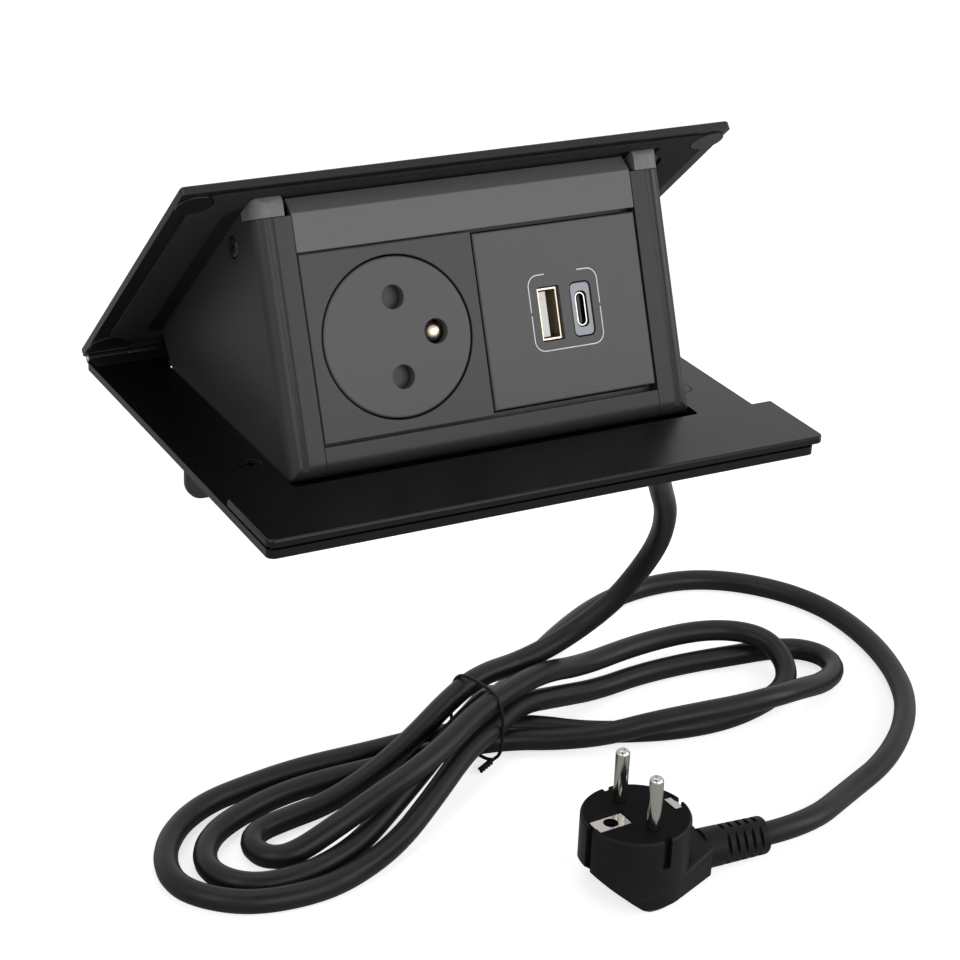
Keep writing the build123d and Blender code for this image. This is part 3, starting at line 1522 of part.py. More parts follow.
# Strain relief: a tapered sleeve moulded on the cord, with short slots across each of its four sides
relief_place = plug_place * Location((relief_start, 0, relief_height), (0, 90, 0))
with BuildPart() as plug_relief:
    with Locations(relief_place):
        Cone(
            relief_radius,
            relief_tip_radius,
            relief_length,
            align=(Align.CENTER, Align.CENTER, Align.MIN),
        )
    fillet(edges().filter_by(GeomType.CIRCLE).sort_by(SortBy.LENGTH)[0], relief_edge)
    for i in range(relief_slots):
        along = relief_slot_start + i * relief_slot_pitch
        outer_radius = relief_radius - (relief_radius - relief_tip_radius) * along / relief_length
        for turn in range(0, 360, 90):
            spot = relief_place * Location((0, 0, along), (0, 0, turn + relief_slot_turn))
            with Locations(spot * Location((outer_radius, 0, 0))):
                Box(
                    2 * relief_slot_depth,
                    2 * outer_radius * relief_slot_share,
                    relief_slot_width,
                    mode=Mode.SUBTRACT,
                )
keep(plug_relief, "plug_relief")

# Loose stretch of the cord, from the hank to the plug's strain relief
relief_tip = plug_place * Location((relief_start + relief_length, 0, relief_height))
relief_far = plug_place * Location((relief_start + relief_length + lead_in, 0, relief_height))
cord_lead_route = [hank_end] + lead_points + [tuple(relief_far.position), tuple(relief_tip.position)]
lay("cord_lead", [cord_lead_route], cord_radius)

# Tie: a coated wire round the waist of the hank, its ends twisted together
tie_height = 3 * layer_pitch + tie_gap + tie_diameter + waist_lift
tie_plane = Plane(
    origin=(waist_x, waist_y, floor_z + (tie_height + tie_gap) / 2),
    x_dir=(-waist_sin, waist_cos, 0),
    z_dir=(waist_cos, waist_sin, 0),
)
with BuildPart() as cord_tie:
    with BuildSketch(tie_plane.offset(-tie_diameter / 2)):
        RectangleRounded(2 * tie_half_width, tie_height, tie_corner)
        RectangleRounded(
            2 * (tie_half_width - tie_diameter), tie_height - 2 * tie_diameter, tie_corner - tie_diameter,
            mode=Mode.SUBTRACT,
        )
    extrude(amount=tie_diameter)
keep(cord_tie, "cord_tie")

# Cores of the lead inside the block, one to each terminal
core_start = lead_end - wall_normal * (cover_wall + lead_inside)
terminals = [
    ("line_wire", pin_places[0], -1),
    ("neutral_wire", pin_places[1], 0),
    ("earth_wire", earth_place, 1),
]
for wire_name, place, step in terminals:
    terminal = face_spot(place[0], place[1], -body_depth - terminal_length)
    before = face_spot(place[0], place[1], -body_depth - terminal_length - core_straight)
    start = core_start + Vector(step * core_pitch, 0, 0)
    after = start - wall_normal * core_straight
    lay(
        wire_name,
        [[tuple(start), tuple(after), tuple(before.position), tuple(terminal.position)]],
        core_radius,
    )
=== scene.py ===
import math
import json

import bmesh
import bpy
from mathutils import Matrix, Vector

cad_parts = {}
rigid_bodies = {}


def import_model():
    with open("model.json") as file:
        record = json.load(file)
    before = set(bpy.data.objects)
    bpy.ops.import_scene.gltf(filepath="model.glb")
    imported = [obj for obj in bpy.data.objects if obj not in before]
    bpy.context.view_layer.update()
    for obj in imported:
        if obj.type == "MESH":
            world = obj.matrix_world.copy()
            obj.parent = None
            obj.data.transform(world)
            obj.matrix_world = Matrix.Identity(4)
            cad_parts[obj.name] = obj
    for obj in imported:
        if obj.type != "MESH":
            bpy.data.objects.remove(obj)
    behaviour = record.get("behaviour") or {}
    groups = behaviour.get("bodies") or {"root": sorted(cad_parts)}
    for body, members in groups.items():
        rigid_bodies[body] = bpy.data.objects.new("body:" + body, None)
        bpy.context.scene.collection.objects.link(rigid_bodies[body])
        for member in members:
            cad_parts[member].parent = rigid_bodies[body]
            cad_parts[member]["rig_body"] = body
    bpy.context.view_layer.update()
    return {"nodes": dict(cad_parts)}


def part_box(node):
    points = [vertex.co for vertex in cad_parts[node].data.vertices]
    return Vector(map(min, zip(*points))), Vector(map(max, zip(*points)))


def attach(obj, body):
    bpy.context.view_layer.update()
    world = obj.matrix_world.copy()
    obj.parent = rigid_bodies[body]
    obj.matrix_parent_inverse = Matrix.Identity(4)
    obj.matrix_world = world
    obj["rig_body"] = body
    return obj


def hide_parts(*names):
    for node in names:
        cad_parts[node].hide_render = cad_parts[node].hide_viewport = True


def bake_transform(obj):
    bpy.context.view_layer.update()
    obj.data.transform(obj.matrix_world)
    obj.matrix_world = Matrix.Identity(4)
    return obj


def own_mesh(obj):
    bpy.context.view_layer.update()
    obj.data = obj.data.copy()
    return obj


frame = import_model()

# Camera: one long lens from the front left, a little above the desk top.
# It is the view of the photograph, in metres and degrees.
camera_place = Vector((-0.260616, -0.499573, 0.242525))
camera_azimuth = math.radians(-28.505)
camera_elevation = math.radians(24.923)
camera_roll = math.radians(2.280)
camera_lens = 91.67
camera_sensor = 36.0

forward = Vector(
    (
        -math.sin(camera_azimuth) * math.cos(camera_elevation),
        math.cos(camera_azimuth) * math.cos(camera_elevation),
        -math.sin(camera_elevation),
    )
)
level = forward.cross(Vector((0, 0, 1))).normalized()
upright = level.cross(forward)
right = math.cos(camera_roll) * level + math.sin(camera_roll) * upright
up = math.cos(camera_roll) * upright - math.sin(camera_roll) * level
camera_data = bpy.data.cameras.new("photo_camera")
camera_data.lens = camera_lens
camera_data.sensor_width = camera_sensor
camera_data.clip_start = 0.01
camera = bpy.data.objects.new("photo_camera", camera_data)
camera.matrix_world = Matrix.Translation(camera_place) @ Matrix((right, up, -forward)).transposed().to_4x4()
bpy.context.scene.collection.objects.link(camera)
bpy.context.scene.camera = camera
bpy.context.scene.view_settings.view_transform = "Standard"


# Lead: black round mains cord, 8.1 mm thick. It leaves the boot under the rear edge, drops to the floor, lies
# in five folds tied at a waist and runs on loose to the plug. Its points are the ones that the part's lead
# follows: the drop and the loose end as lists, the folds as shares of their reach and half width.
cord_diameter = 0.0081
floor_z = -0.215
boot_tip = (0.056, 0.04945, -0.032)
drop_route = [
    boot_tip,
    (0.079, 0.04945, -0.032),
    (0.098, 0.060, -0.041),
    (0.114, 0.0775, -0.056),
    (0.127, 0.097, -0.074),
    (0.1398, 0.1158, -0.091),
    (0.1527, 0.1332, -0.1074),
    (0.1642, 0.1453, -0.1237),
    (0.1704, 0.1577, -0.1422),
    (0.1687, 0.1668, -0.1582),
    (0.1615, 0.1729, -0.1731),
    (0.1457, 0.1779, -0.1865),
    (0.1273, 0.1786, -0.193),
]
loose_route = [
    (0.1403, 0.200),
    (0.1687, 0.2211),
    (0.1955, 0.2361),
    (0.217, 0.2409),
    (0.2357, 0.2404),
    (0.2508, 0.2338),
    (0.263, 0.2227),
    (0.2726, 0.2081),
    (0.278, 0.188),
    (0.2761, 0.1584),
    (0.2661, 0.1289),
    (0.2505, 0.1078),
    (0.2282, 0.0896),
    (0.2057, 0.0794),
]
inner_fold_shares = (
    (-0.070, 0.484, 2.1), (0.091, 0.319, 1.85), (0.303, 0.108, 1.15), (0.476, 0.070, 0.4),
    (0.655, 0.038, 0), (0.822, 0.080, 0), (0.939, 0.070, 0), (1.000, -0.211, 0),
    (1.000, -0.610, 0), (0.939, -0.892, 0.15), (0.781, -0.995, 0.85), (0.604, -1.000, 1.45),
    (0.451, -0.958, 1.8), (0.279, -0.751, 2.05), (0.124, -0.479, 2.1),
)
short_fold_shares = (
    (-0.019, -0.140, 2.13), (-0.214, -0.005, 2.0), (-0.416, 0.128, 1.2), (-0.647, 0.156, 1.05),
    (-0.848, 0.035, 1.05), (-0.954, -0.174, 1.05), (-1.000, -0.442, 1.0), (-0.996, -0.702, 0.45),
    (-0.935, -0.895, 0.05), (-0.820, -0.988, 0), (-0.655, -1.000, 0), (-0.505, -0.872, 0),
    (-0.371, -0.642, 0), (-0.260, -0.386, 0), (-0.158, -0.112, 0), (-0.059, 0.065, 0),
    (0.032, 0.167, 0),
)
outer_fold_shares = (
    (0.124, 0.302, 0), (0.272, 0.473, 0), (0.455, 0.632, 0), (0.619, 0.673, 0),
    (0.746, 0.665, 0), (0.865, 0.499, 0), (0.957, 0.199, 0), (1.000, -0.176, 0),
    (0.974, -0.499, 0), (0.901, -0.801, 0), (0.778, -0.972, 0), (0.657, -1.000, 0),
    (0.482, -0.867, 0.1), (0.316, -0.632, 0.6), (0.141, -0.363, 1),
)
long_fold_shares = (
    (0.007, -0.167, 1.05), (-0.105, -0.052, 1.13), (-0.256, -0.006, 0.65), (-0.395, 0.035, 0.05),
    (-0.539, 0.019, 0), (-0.685, -0.075, 0), (-0.818, -0.208, 0), (-0.915, -0.300, 0),
    (-0.981, -0.438, 0), (-1.000, -0.640, 0), (-0.961, -0.823, 0.02), (-0.874, -0.923, 0.2),
    (-0.760, -0.985, 0.75), (-0.653, -1.000, 1.02), (-0.550, -0.946, 1.05), (-0.439, -0.844, 1.05),
    (-0.327, -0.698, 0.85), (-0.231, -0.546, 0.45), (-0.139, -0.337, 0.0), (-0.063, -0.165, 0),
)
middle_fold_shares = (
    (0.040, -0.058, 0), (0.186, 0.109, 0), (0.344, 0.304, 0), (0.496, 0.461, 0),
    (0.634, 0.519, 0), (0.769, 0.464, 0), (0.884, 0.324, 0), (0.964, 0.055, 0),
    (1.000, -0.297, 0), (0.977, -0.655, 0), (0.906, -0.904, 0), (0.779, -1.000, 0),
    (0.619, -0.898, 0.05), (0.460, -0.666, 0.5), (0.307, -0.427, 0.95), (0.166, -0.174, 1.08),
    (0.024, 0.089, 1.1), (-0.089, 0.348, 1.0),
)
folds = (
    (0.1046, 0.0213, inner_fold_shares),
    (0.1268, 0.0430, short_fold_shares),
    (0.1369, 0.0391, outer_fold_shares),
    (0.1470, 0.0520, long_fold_shares),
    (0.1239, 0.0293, middle_fold_shares),
)
waist = Vector((0.103, 0.1612))
waist_heading = math.radians(193.1)
waist_lift = 0.00175
waist_half_length = 0.0275
layer_pitch = 0.00875
hank_exit = (0.1223, 0.184, floor_z + cord_diameter / 2 + waist_lift)
plug_place = Vector((0.109, 0.066, floor_z))
plug_heading = math.radians(-3.0)
relief_height = 0.008
relief_start = 0.0253
relief_length = 0.024
lead_in = 0.018


def on_waist(along, across, layer):
    """A point of the hank, along and across from its waist, on a layer that the tie lifts off the floor."""
    lift = waist_lift if abs(along) < waist_half_length else 0
    return (
        waist.x + along * math.cos(waist_heading) - across * math.sin(waist_heading),
        waist.y + along * math.sin(waist_heading) + across * math.cos(waist_heading),
        floor_z + cord_diameter / 2 + layer * layer_pitch + lift,
    )


def beside_plug(ahead, aside, height):
    """A point of the plug's own axes: ahead is towards the cord."""
    return plug_place + Vector(
        (
            ahead * math.cos(plug_heading) - aside * math.sin(plug_heading),
            ahead * math.sin(plug_heading) + aside * math.cos(plug_heading),
            height,
        )
    )


def smooth_line(name, points, radius, sides=6, steps=8):
    """A round cord whose centreline is a smooth spline with these control points."""
    curve = bpy.data.curves.new(name, "CURVE")
    curve.dimensions = "3D"
    spline = curve.splines.new("NURBS")
    spline.points.add(len(points) - 1)
    for place, point in zip(spline.points, points):
        place.co = (*point, 1)
    spline.order_u = 3
    spline.use_endpoint_u = True
    curve.resolution_u = steps
    curve.bevel_depth = radius
    curve.bevel_resolution = sides
    curve.use_fill_caps = True
    line = bpy.data.objects.new(name, curve)
    bpy.context.scene.collection.objects.link(line)
    return line


cord_points = list(drop_route)
for reach, width, shares in folds:
    cord_points += [on_waist(reach * along, -width * across, layer) for along, across, layer in shares]
cord_points.append(hank_exit)
cord_points += [(x, y, floor_z + cord_diameter / 2) for x, y in loose_route]
cord_points.append(beside_plug(relief_start + relief_length + lead_in, 0, relief_height))
cord_points.append(beside_plug(relief_start + relief_length, 0, relief_height))
cord = smooth_line("mains_cord", cord_points, cord_diameter / 2)


class Shade:
    """A socket in a finish's nodes. Arithmetic on it adds Math nodes, and node adds any other node."""

    def __init__(self, tree, socket=None):
        self.tree = tree
        self.socket = socket

    def feed(self, socket, value):
        if isinstance(value, Shade):
            self.tree.links.new(value.socket, socket)
        else:
            socket.default_value = value

    def node(self, kind, settings, sockets, output=0):
        made = self.tree.nodes.new(kind)
        for name, value in settings.items():
            setattr(made, name, value)
        for name, value in sockets.items():
            self.feed(made.inputs[name], value)
        return Shade(self.tree, made.outputs[output])

    def maths(self, operation, first, second):
        return self.node("ShaderNodeMath", {"operation": operation}, {0: first, 1: second})

    def __add__(self, other):
        return self.maths("ADD", self, other)

    def __mul__(self, other):
        return self.maths("MULTIPLY", self, other)

    __radd__ = __add__
    __rmul__ = __mul__


grain_detail = 2.0


def grain(tree, spot, size):
    """Noise of about 0 to 1 whose grains are size metres across."""
    return tree.node(
        "ShaderNodeTexNoise",
        {"noise_dimensions": "3D"},
        {"Vector": spot, "Scale": 1 / size, "Detail": grain_detail},
    )


def finish(name, colour, roughness, metallic=0.0, grain_size=0.0005, grain_depth=0.00001, mottle=0.1,
           mottle_size=0.006, rough_mottle=0.06, gloss=0.5, squeeze=(1, 1, 1)):
    """A surface with fine grain in its relief, and soft uneven patches in its colour and gloss."""
    material = bpy.data.materials.new(name)
    material.use_nodes = True
    tree = Shade(material.node_tree)
    shader = material.node_tree.nodes["Principled BSDF"]
    spot = tree.node("ShaderNodeTexCoord", {}, {}, output=3)
    stretched = tree.node("ShaderNodeMapping", {}, {"Vector": spot, "Scale": squeeze})
    patches = grain(tree, stretched, mottle_size)
    grains = grain(tree, stretched, grain_size)
    dark = [channel * (1 - mottle) for channel in colour]
    light = [channel * (1 + mottle) for channel in colour]
    tint = tree.node(
        "ShaderNodeMix",
        {"data_type": "RGBA"},
        {"Factor": patches, "A": (*dark, 1), "B": (*light, 1)},
        output=2,
    )
    tree.feed(shader.inputs["Base Color"], tint)
    tree.feed(shader.inputs["Roughness"], patches * (2 * rough_mottle) + (roughness - rough_mottle))
    tree.feed(shader.inputs["Metallic"], metallic)
    tree.feed(shader.inputs["Specular IOR Level"], gloss)
    relief = tree.node("ShaderNodeBump", {}, {"Strength": 1.0, "Distance": grain_depth, "Height": grains})
    tree.feed(shader.inputs["Normal"], relief)
    return material


def dress(piece, material, slot, body="root", *replaced):
    """Gives a new piece its finish and the body that carries it, and hides the nodes that it replaces. The
    slot is not used.
    """
    piece.data.materials.clear()
    piece.data.materials.append(material)
    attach(piece, body)
    if replaced:
        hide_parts(*replaced)
    return piece


sheath = finish(
    "cord_sheath", (0.010, 0.010, 0.011), 0.38, grain_size=0.0012, grain_depth=0.00005, mottle=0.25,
    mottle_size=0.02, rough_mottle=0.1, gloss=0.2,
)
dress(cord, sheath, "cord_sheath", "root", "cord_drop", "cord_hank", "cord_lead")


# Inner lead: the same cord held by its saddle under the rear edge and drawn up into the block as it swings.
# It bends where it leaves the saddle.
inner_route = [
    (0.026, 0.04945, -0.032),
    (0.008, 0.04945, -0.032),
    (-0.007, 0.0483, -0.0315),
    (-0.018, 0.044, -0.028),
    (-0.024, 0.036494, -0.021043),
    (-0.024, 0.022828, -0.003802),
]
lead_curve = smooth_line("inner_lead_line", inner_route, cord_diameter / 2, steps=16)
bpy.context.view_layer.update()
inner_mesh = bpy.data.meshes.new_from_object(lead_curve)
bpy.data.objects.remove(lead_curve)
inner_lead = bpy.data.objects.new("lead_into_block", inner_mesh)
bpy.context.scene.collection.objects.link(inner_lead)
inner_mesh.materials.clear()
inner_mesh.materials.append(sheath)
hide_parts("inner_lead")
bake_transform(inner_lead)


# Boot, strain relief, plug and the other mouldings on the lead: soft black plastic with rounded edges.
# Each keeps the shape of the real moulding, with its edges eased as a mould leaves them.
bodies = {name: node["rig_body"] for name, node in frame["nodes"].items()}
crease = math.radians(32)


def copied(node, name):
    """A new piece with the shape of a node, on a clean mesh."""
    shape = bmesh.new()
    shape.from_mesh(frame["nodes"][node].data)
    bmesh.ops.remove_doubles(shape, verts=shape.verts, dist=0.000002)
    bmesh.ops.dissolve_limit(shape, angle_limit=math.radians(0.6), verts=shape.verts, edges=shape.edges)
    mesh = bpy.data.meshes.new(name)
    shape.to_mesh(mesh)
    shape.free()
    if "custom_normal" in mesh.attributes:
        mesh.attributes.remove(mesh.attributes["custom_normal"])
    mesh.shade_smooth()
    mesh.set_sharp_from_angle(angle=crease)
    piece = bpy.data.objects.new(name, mesh)
    bpy.context.scene.collection.objects.link(piece)
    return piece


def eased(node, name, edge, material, slot, segments=2):
    """A piece in the place of a node, with the same shape and its sharp edges rounded."""
    piece = copied(node, name)
    bevel = piece.modifiers.new("eased_edges", "BEVEL")
    bevel.width = edge
    bevel.segments = segments
    bevel.limit_method = "ANGLE"
    bevel.angle_limit = crease
    bevel.use_clamp_overlap = True
    return dress(piece, material, slot, bodies[node], node)


def paint_node(node, material):
    """Gives a node that keeps its own shape its finish."""
    slots = frame["nodes"][node].data.materials
    slots.clear()
    slots.append(material)


plug_moulding = finish(
    "plug_moulding", (0.011, 0.011, 0.0115), 0.42, grain_size=0.0006, grain_depth=0.00002, mottle=0.2,
    mottle_size=0.01, rough_mottle=0.08, gloss=0.1,
)
eased("cord_boot", "lead_boot", 0.0004, plug_moulding, "cord_sheath")
plug = eased("plug_body", "plug_moulded_body", 0.0005, plug_moulding, "plug_plastic", 3)
# The plug's upward face takes a copy of the moulding that is rougher and painted darker, as painted shade on
# the top of the plug.
plug_shaded_face = finish(
    "plug_matt_face_painted_shade", (0.005, 0.005, 0.0052), 0.65, grain_size=0.0006, grain_depth=0.00004, mottle=0.25,
    mottle_size=0.004, rough_mottle=0.08, gloss=0.04,
)
plug.data.materials.append(plug_shaded_face)
face_margin = 0.0002
least_upward = 0.9
face_level = max(vertex.co.z for vertex in plug.data.vertices) - face_margin
for polygon in plug.data.polygons:
    if polygon.normal.z > least_upward and polygon.center.z > face_level:
        polygon.material_index = 1
relief = eased("plug_relief", "plug_strain_relief", 0.0004, plug_moulding, "plug_plastic")


# Plug pins and earth clips: brass turned or pressed, bright nickel plated.
nickel = finish(
    "bright_nickel", (0.46, 0.44, 0.41), 0.16, metallic=1.0, grain_size=0.0008, grain_depth=0.000004,
    mottle=0.06, mottle_size=0.003, rough_mottle=0.05, squeeze=(1, 1, 0.2),
)
paint_node("plug_pins", nickel)
paint_node("plug_earth_clips", nickel)


# Tie: a thin black coated wire, once round the waist of the hank, with its ends twisted into a pigtail.
# It goes wherever the cord goes, as the plug does.
tie_radius = 0.00062
tie_pitch = 0.0012
tie_squareness = 0.62
tie_shift = 0.0028
tie_low, tie_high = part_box("cord_tie")
tie_half_height = (tie_high.z - tie_low.z) / 2 - tie_radius
tie_half_width = 0.0143 - tie_radius
tie_middle = (tie_high.z + tie_low.z) / 2
turn_steps = 26
tie_start = math.radians(-52)
pigtail_steps = 22
pigtail_length = 0.0065
pigtail_turns = 2.5
pigtail_fall = 0.0012
pigtail_swing = 0.001
pigtail_lead = (0.0012, 0.0006)


def from_waist(along, across, height):
    """A step away from the waist: along runs with the cords, across points to the front."""
    return Vector(
        (
            along * math.cos(waist_heading) - across * math.sin(waist_heading),
            along * math.sin(waist_heading) + across * math.cos(waist_heading),
            height,
        )
    )


def squared(value):
    return math.copysign(abs(value) ** tie_squareness, value)


def pigtail(phase, base):
    """One strand of the twisted ends, round a line that runs on from the base."""
    points = []
    for step in range(1, pigtail_steps + 1):
        share = step / pigtail_steps
        angle = phase + 2 * math.pi * pigtail_turns * share
        ahead = pigtail_length * share
        aside = pigtail_swing * share + tie_radius * math.cos(angle)
        height = tie_radius * math.sin(angle) - pigtail_fall * share
        points.append(base + from_waist(ahead, aside, height))
    return points


tie_points = []
for step in range(turn_steps + 1):
    angle = tie_start + 2 * math.pi * step / turn_steps
    tie_points.append(
        Vector((waist.x, waist.y, 0))
        + from_waist(
            tie_shift + tie_pitch * (step / turn_steps - 0.5),
            tie_half_width * squared(math.cos(angle)),
            tie_middle + tie_half_height * squared(math.sin(angle)),
        )
    )
pigtail_base = (tie_points[0] + tie_points[-1]) / 2 + from_waist(*pigtail_lead, 0)
tie_points = pigtail(math.pi, pigtail_base)[::-1] + tie_points + pigtail(0, pigtail_base)
tie = smooth_line("wire_tie", tie_points, tie_radius, sides=3, steps=4)
dress(tie, plug_moulding, "cord_sheath", "root", "cord_tie")


# Base plate, front strip and lid: sheet steel with a fine matt black powder coat.
# The strip's and the lid's edges are rounded a little, as a coat leaves them. The screws have the same coat.
powder = finish(
    "black_powder_coat", (0.0035, 0.0035, 0.0037), 0.27, grain_size=0.0005, grain_depth=0.000006, mottle=0.15,
    mottle_size=0.02, rough_mottle=0.04, gloss=0.2,
)
for node in ("base_plate", "stop_bar", "fixing_screws"):
    paint_node(node, powder)
eased("front_strip", "front_bar", 0.0003, powder, "black_paint")
# The lid takes a lighter copy of the same black coat: its lighter colour is painted light on the lid's
# underside.
lid_powder_painted_light = finish(
    "lid_painted_light_powder_coat", (0.011, 0.011, 0.0115), 0.32, grain_size=0.0005, grain_depth=0.000006, mottle=0.15,
    mottle_size=0.02, rough_mottle=0.04, gloss=0.3,
)
eased("lid_plate", "lid_sheet", 0.0003, lid_powder_painted_light, "black_paint")


# Hinge, bracket, rod and rivets: blackened steel, with a bare zinc plated pin and springs.
blackened = finish(
    "blackened_steel", (0.03, 0.03, 0.032), 0.38, metallic=0.6, grain_size=0.0006, grain_depth=0.00001,
    mottle=0.3, mottle_size=0.004, rough_mottle=0.1,
)
zinc = finish(
    "zinc_plate", (0.62, 0.62, 0.63), 0.28, metallic=1.0, grain_size=0.0005, grain_depth=0.000005, mottle=0.1,
    mottle_size=0.002, rough_mottle=0.08,
)
for node in (
    "fixed_leaf", "moving_leaf", "leaf_rivets", "leaf_studs", "rear_bracket", "spring_rod",
    "cord_saddle", "saddle_screws", "tie_bar", "cheek_screws",
):
    paint_node(node, blackened)
for node in ("hinge_pin", "catch_spring"):
    paint_node(node, zinc)


# Springs: wound zinc plated wire. Two on the rod lift the block with a leg each, and a wide one sits behind
# the socket's disc. The real legs are pushed down as the block shuts and the wide one is pressed flat as a
# plug goes in; here each spring keeps one shape.
lift_springs = copied("lift_springs", "lift_spring_pair")
lift_springs.data.materials.clear()
lift_springs.data.materials.append(zinc)
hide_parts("lift_springs")
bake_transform(lift_springs)
face_tilt = math.radians(21.55)
disc_spring = copied("disc_spring", "disc_return_spring")
dress(disc_spring, zinc, "zinc_steel", "lid_block", "disc_spring")
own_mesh(disc_spring)


# Gasket, pads and tape: soft black foam and rubber, glued under the lid and under the strip.
foam = finish(
    "black_foam", (0.013, 0.013, 0.013), 0.9, grain_size=0.0007, grain_depth=0.00012, mottle=0.45,
    mottle_size=0.0012, rough_mottle=0.05, gloss=0.25,
)
rubber = finish(
    "black_rubber", (0.008, 0.008, 0.008), 0.35, grain_size=0.0005, grain_depth=0.00001, mottle=0.2,
    mottle_size=0.003, rough_mottle=0.08, gloss=0.35,
)
eased("lid_gasket", "foam_gasket", 0.0002, foam, "foam")
eased("lid_bumpers", "corner_pads", 0.00015, rubber, "foam")
eased("strip_tape", "strip_foam_tape", 0.0001, foam, "foam")


# Cheeks and bottom cover: moulded end plates with a satin face, and the folded shell between them.
satin = finish(
    "satin_black_moulding", (0.033, 0.032, 0.032), 0.38, grain_size=0.0004, grain_depth=0.000012, mottle=0.1,
    mottle_size=0.012, rough_mottle=0.06, gloss=0.22,
)
eased("left_cheek", "left_end_plate", 0.0003, satin, "cheek_plastic")
eased("right_cheek", "right_end_plate", 0.0003, satin, "cheek_plastic")
eased("bottom_cover", "block_shell", 0.0002, satin, "black_plastic")


# End caps: lighter grey, cut from a coarse grained profile, on top of the posts.
cap_grey = finish(
    "cap_grey", (0.166, 0.162, 0.164), 0.55, grain_size=0.0005, grain_depth=0.00005, mottle=0.25,
    mottle_size=0.0012, rough_mottle=0.08, gloss=0.35,
)
eased("left_cap", "left_post_cap", 0.0002, cap_grey, "grey_plastic")
eased("right_cap", "right_post_cap", 0.0002, cap_grey, "grey_plastic")


# Top bar: a folded strip with a light satin grey coat.
bar_grey = finish(
    "bar_satin_grey", (0.104, 0.100, 0.101), 0.42, grain_size=0.0004, grain_depth=0.000008, mottle=0.05,
    mottle_size=0.02, rough_mottle=0.05, gloss=0.35,
)
eased("top_bar", "top_trim_bar", 0.0002, bar_grey, "bar_coat")


# Socket and charger mouldings: charcoal plastic with a fine spark-eroded grain.
charcoal = finish(
    "charcoal_moulding", (0.083, 0.082, 0.084), 0.5, grain_size=0.0004, grain_depth=0.00001, mottle=0.05,
    mottle_size=0.01, rough_mottle=0.05, gloss=0.3,
)
cover_charcoal = finish(
    "cover_moulding", (0.050, 0.050, 0.051), 0.5, grain_size=0.0004, grain_depth=0.00001, mottle=0.05,
    mottle_size=0.01, rough_mottle=0.05, gloss=0.3,
)
# Black of the inner mouldings, also used as painted shade on the walls of the charger insert's slot.
inner_black_and_slot_shade = finish(
    "inner_black_moulding_and_slot_shade", (0.02, 0.02, 0.021), 0.5, grain_size=0.0006, grain_depth=0.00001, mottle=0.1,
    mottle_size=0.01,
)
eased("socket_cover", "socket_plate", 0.00015, cover_charcoal, "black_plastic")
eased("socket_disc", "socket_face_disc", 0.00015, charcoal, "black_plastic")
eased("usb_cover", "charger_plate", 0.00015, charcoal, "black_plastic")
for node in ("module_frame", "catch_body", "catch_bolt", "shutter", "socket_body", "usb_housing"):
    paint_node(node, inner_black_and_slot_shade)


# Charger ports: a folded bright shell round a white tongue, and a light grey insert whose slot walls are
# painted black as shade.
insert_grey = finish(
    "port_insert_grey", (0.31, 0.33, 0.36), 0.42, grain_size=0.0005, grain_depth=0.000008, mottle=0.06,
    mottle_size=0.003,
)
white_moulding = finish(
    "white_moulding", (0.75, 0.74, 0.70), 0.4, grain_size=0.0006, grain_depth=0.000008, mottle=0.04,
    mottle_size=0.004,
)
gilt = finish(
    "gilt_shell", (0.52, 0.46, 0.36), 0.3, metallic=1.0, grain_size=0.0006, grain_depth=0.000005, mottle=0.1,
    mottle_size=0.002,
)
port_insert = eased("usb_c_insert", "type_c_insert", 0.00012, insert_grey, "grey_plastic")
# The walls of the insert's slot take the inner black: painted shade in the slot.
port_insert.data.materials.append(inner_black_and_slot_shade)
face_origin = Vector((0, -0.02682, 0.00872))
face_up = Vector((0, math.sin(face_tilt), math.cos(face_tilt)))
face_out = Vector((0, -face_up.z, face_up.y))
slot_middle = (0.0272, 0.0224)
slot_half_width = 0.0018
slot_half_height = 0.0046
for polygon in port_insert.data.polygons:
    from_origin = polygon.center - face_origin
    beside_slot = abs(from_origin.x - slot_middle[0]) > slot_half_width
    above_slot = abs(from_origin.dot(face_up) - slot_middle[1]) > slot_half_height
    if abs(polygon.normal.dot(face_out)) < 0.5 and not beside_slot and not above_slot:
        polygon.material_index = 1
paint_node("usb_a_shell", gilt)
paint_node("usb_c_shell", nickel)
for node in ("usb_a_tongue", "usb_transformer"):
    paint_node(node, white_moulding)
paint_node("usb_c_tongue", inner_black_and_slot_shade)
paint_node("earth_pin", gilt)
board_green = finish(
    "board_green", (0.02, 0.12, 0.05), 0.4, grain_size=0.001, grain_depth=0.00001, mottle=0.2,
    mottle_size=0.004,
)
paint_node("usb_board", board_green)
brass = finish(
    "plain_brass", (0.75, 0.55, 0.28), 0.3, metallic=1.0, grain_size=0.0006, grain_depth=0.000005, mottle=0.1,
    mottle_size=0.002,
)
paint_node("pin_contacts", brass)


# Outline printed round the two ports: a thin white line with rounded corners, on the charger's face.
# It is left open at the top, where the real one has words.
outline_middle = (0.0228, 0.0228)
outline_half_width = 0.00965
outline_half_height = 0.0094
outline_corner = 0.0028
outline_line = 0.00024
outline_lift = -0.00028
top_break = (0.0180, 0.0271)
side_break = 0.0004
corner_steps = 6


def on_face(across, height):
    return face_origin + Vector((across, 0, 0)) + face_up * height + face_out * outline_lift


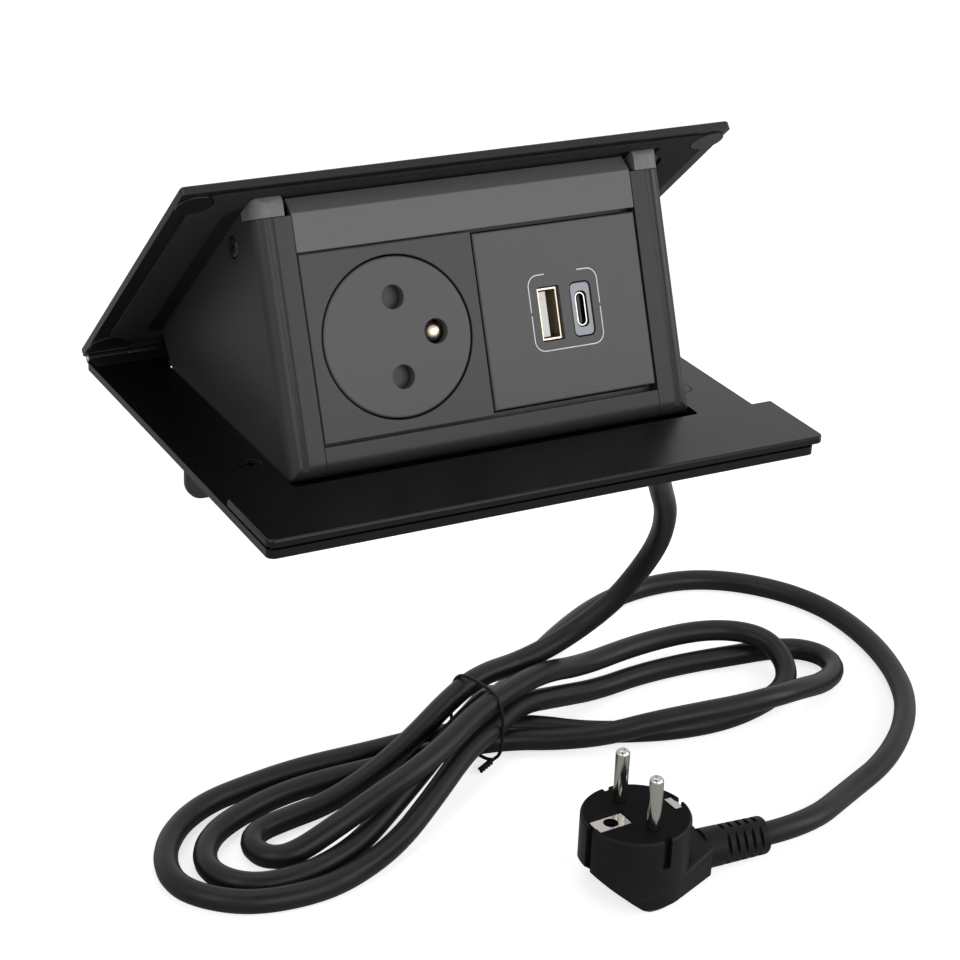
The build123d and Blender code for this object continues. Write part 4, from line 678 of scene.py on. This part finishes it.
def rounded_run(inset):
    """Round the outline, from the right end of its top break to the left end, with gaps at the sides."""
    half_width = outline_half_width - inset
    half_height = outline_half_height - inset
    corner = outline_corner - inset
    runs = [[(top_break[1] - outline_middle[0], half_height)]]
    for quarter, (side_x, side_y) in enumerate(((1, 1), (1, -1), (-1, -1), (-1, 1))):
        for step in range(corner_steps + 1):
            turn = math.pi / 2 * (1 - quarter - step / corner_steps)
            runs[-1].append(
                (
                    side_x * (half_width - corner) + corner * math.cos(turn),
                    side_y * (half_height - corner) + corner * math.sin(turn),
                )
            )
        if quarter in (0, 2):
            edge = side_x * half_width
            runs[-1].append((edge, side_y * side_break))
            runs.append([(edge, -side_y * side_break)])
    runs[-1].append((top_break[0] - outline_middle[0], half_height))
    return [[on_face(outline_middle[0] + x, outline_middle[1] + y) for x, y in run] for run in runs]


outline_shape = bmesh.new()
for outer, inner in zip(rounded_run(0), rounded_run(outline_line)):
    outer_verts = [outline_shape.verts.new(point) for point in outer]
    inner_verts = [outline_shape.verts.new(point) for point in inner]
    for i in range(len(outer_verts) - 1):
        outline_shape.faces.new((outer_verts[i], outer_verts[i + 1], inner_verts[i + 1], inner_verts[i]))
bmesh.ops.recalc_face_normals(outline_shape, faces=outline_shape.faces)
outline_mesh = bpy.data.meshes.new("port_outline_print")
outline_shape.to_mesh(outline_mesh)
outline_shape.free()
port_outline = bpy.data.objects.new("port_outline_print", outline_mesh)
bpy.context.scene.collection.objects.link(port_outline)
outline_white = finish(
    "outline_print_white", (0.75, 0.75, 0.74), 0.5, grain_size=0.0004, grain_depth=0.000004, mottle=0.2,
    mottle_size=0.002,
)
dress(port_outline, outline_white, "white_plastic", "lid_block")


# Cores of the lead: brown, blue and green insulation.
for node, colour in (
    ("line_wire", (0.13, 0.045, 0.02)),
    ("neutral_wire", (0.02, 0.09, 0.32)),
    ("earth_wire", (0.10, 0.26, 0.03)),
):
    paint_node(node, finish(node + "_insulation", colour, 0.4, mottle_size=0.003))


# Studio: a plain white floor and sweep of light, with a large soft lamp in front and a strip at each side.
floor_mesh = bpy.data.meshes.new("studio_floor")
floor_shape = bmesh.new()
bmesh.ops.create_grid(floor_shape, x_segments=1, y_segments=1, size=6)
bmesh.ops.translate(floor_shape, verts=floor_shape.verts, vec=(0, 0, floor_z))
floor_shape.to_mesh(floor_mesh)
floor_shape.free()
studio_floor = bpy.data.objects.new("studio_floor", floor_mesh)
bpy.context.scene.collection.objects.link(studio_floor)
floor_paint = bpy.data.materials.new("studio_floor_paint")
floor_paint.use_nodes = True
floor_tree = Shade(floor_paint.node_tree)
floor_shader = floor_paint.node_tree.nodes["Principled BSDF"]
floor_shader.inputs["Base Color"].default_value = (0.82, 0.82, 0.82, 1)
floor_shader.inputs["Roughness"].default_value = 0.9
floor_shader.inputs["Emission Color"].default_value = (1, 1, 1, 1)
seen = floor_tree.node("ShaderNodeLightPath", {}, {})
floor_tree.feed(floor_shader.inputs["Emission Strength"], seen * 0.7)
floor_mesh.materials.append(floor_paint)

world = bpy.data.worlds.new("studio")
bpy.context.scene.world = world
world.use_nodes = True
world_tree = Shade(world.node_tree)
background = world.node_tree.nodes["Background"]
background.inputs["Color"].default_value = (1, 1, 1, 1)
camera_ray = world_tree.node("ShaderNodeLightPath", {}, {}, output=0)
glossy_ray = world_tree.node("ShaderNodeLightPath", {}, {}, output=3)
transmitted_ray = world_tree.node("ShaderNodeLightPath", {}, {}, output=4)
fill_level = 0.17
bright_level = 1 - fill_level
seen_white = camera_ray + glossy_ray + transmitted_ray
world_tree.feed(background.inputs["Strength"], seen_white * bright_level + fill_level)


def softbox(name, place, target, width, height, power):
    """A rectangular soft lamp that faces a point."""
    lamp = bpy.data.lights.new(name, "AREA")
    lamp.shape = "RECTANGLE"
    lamp.size = width
    lamp.size_y = height
    lamp.energy = power
    holder = bpy.data.objects.new(name, lamp)
    aim = (Vector(target) - Vector(place)).to_track_quat("-Z", "Y")
    holder.matrix_world = Matrix.Translation(place) @ aim.to_matrix().to_4x4()
    bpy.context.scene.collection.objects.link(holder)


softbox("front_softbox", (0.3, -1.7, 0.55), (0, 0, -0.03), 1.6, 1.0, 15)
softbox("left_strip", (-1.2, -0.45, 0.75), (-0.05, 0, 0.02), 0.5, 0.9, 5)
softbox("right_strip", (1.3, -0.6, 0.35), (0.05, 0, 0.03), 0.4, 1.2, 7.5)
softbox("top_softbox", (0.1, 0.5, 1.6), (0.05, 0.05, 0), 1.2, 1.2, 5)
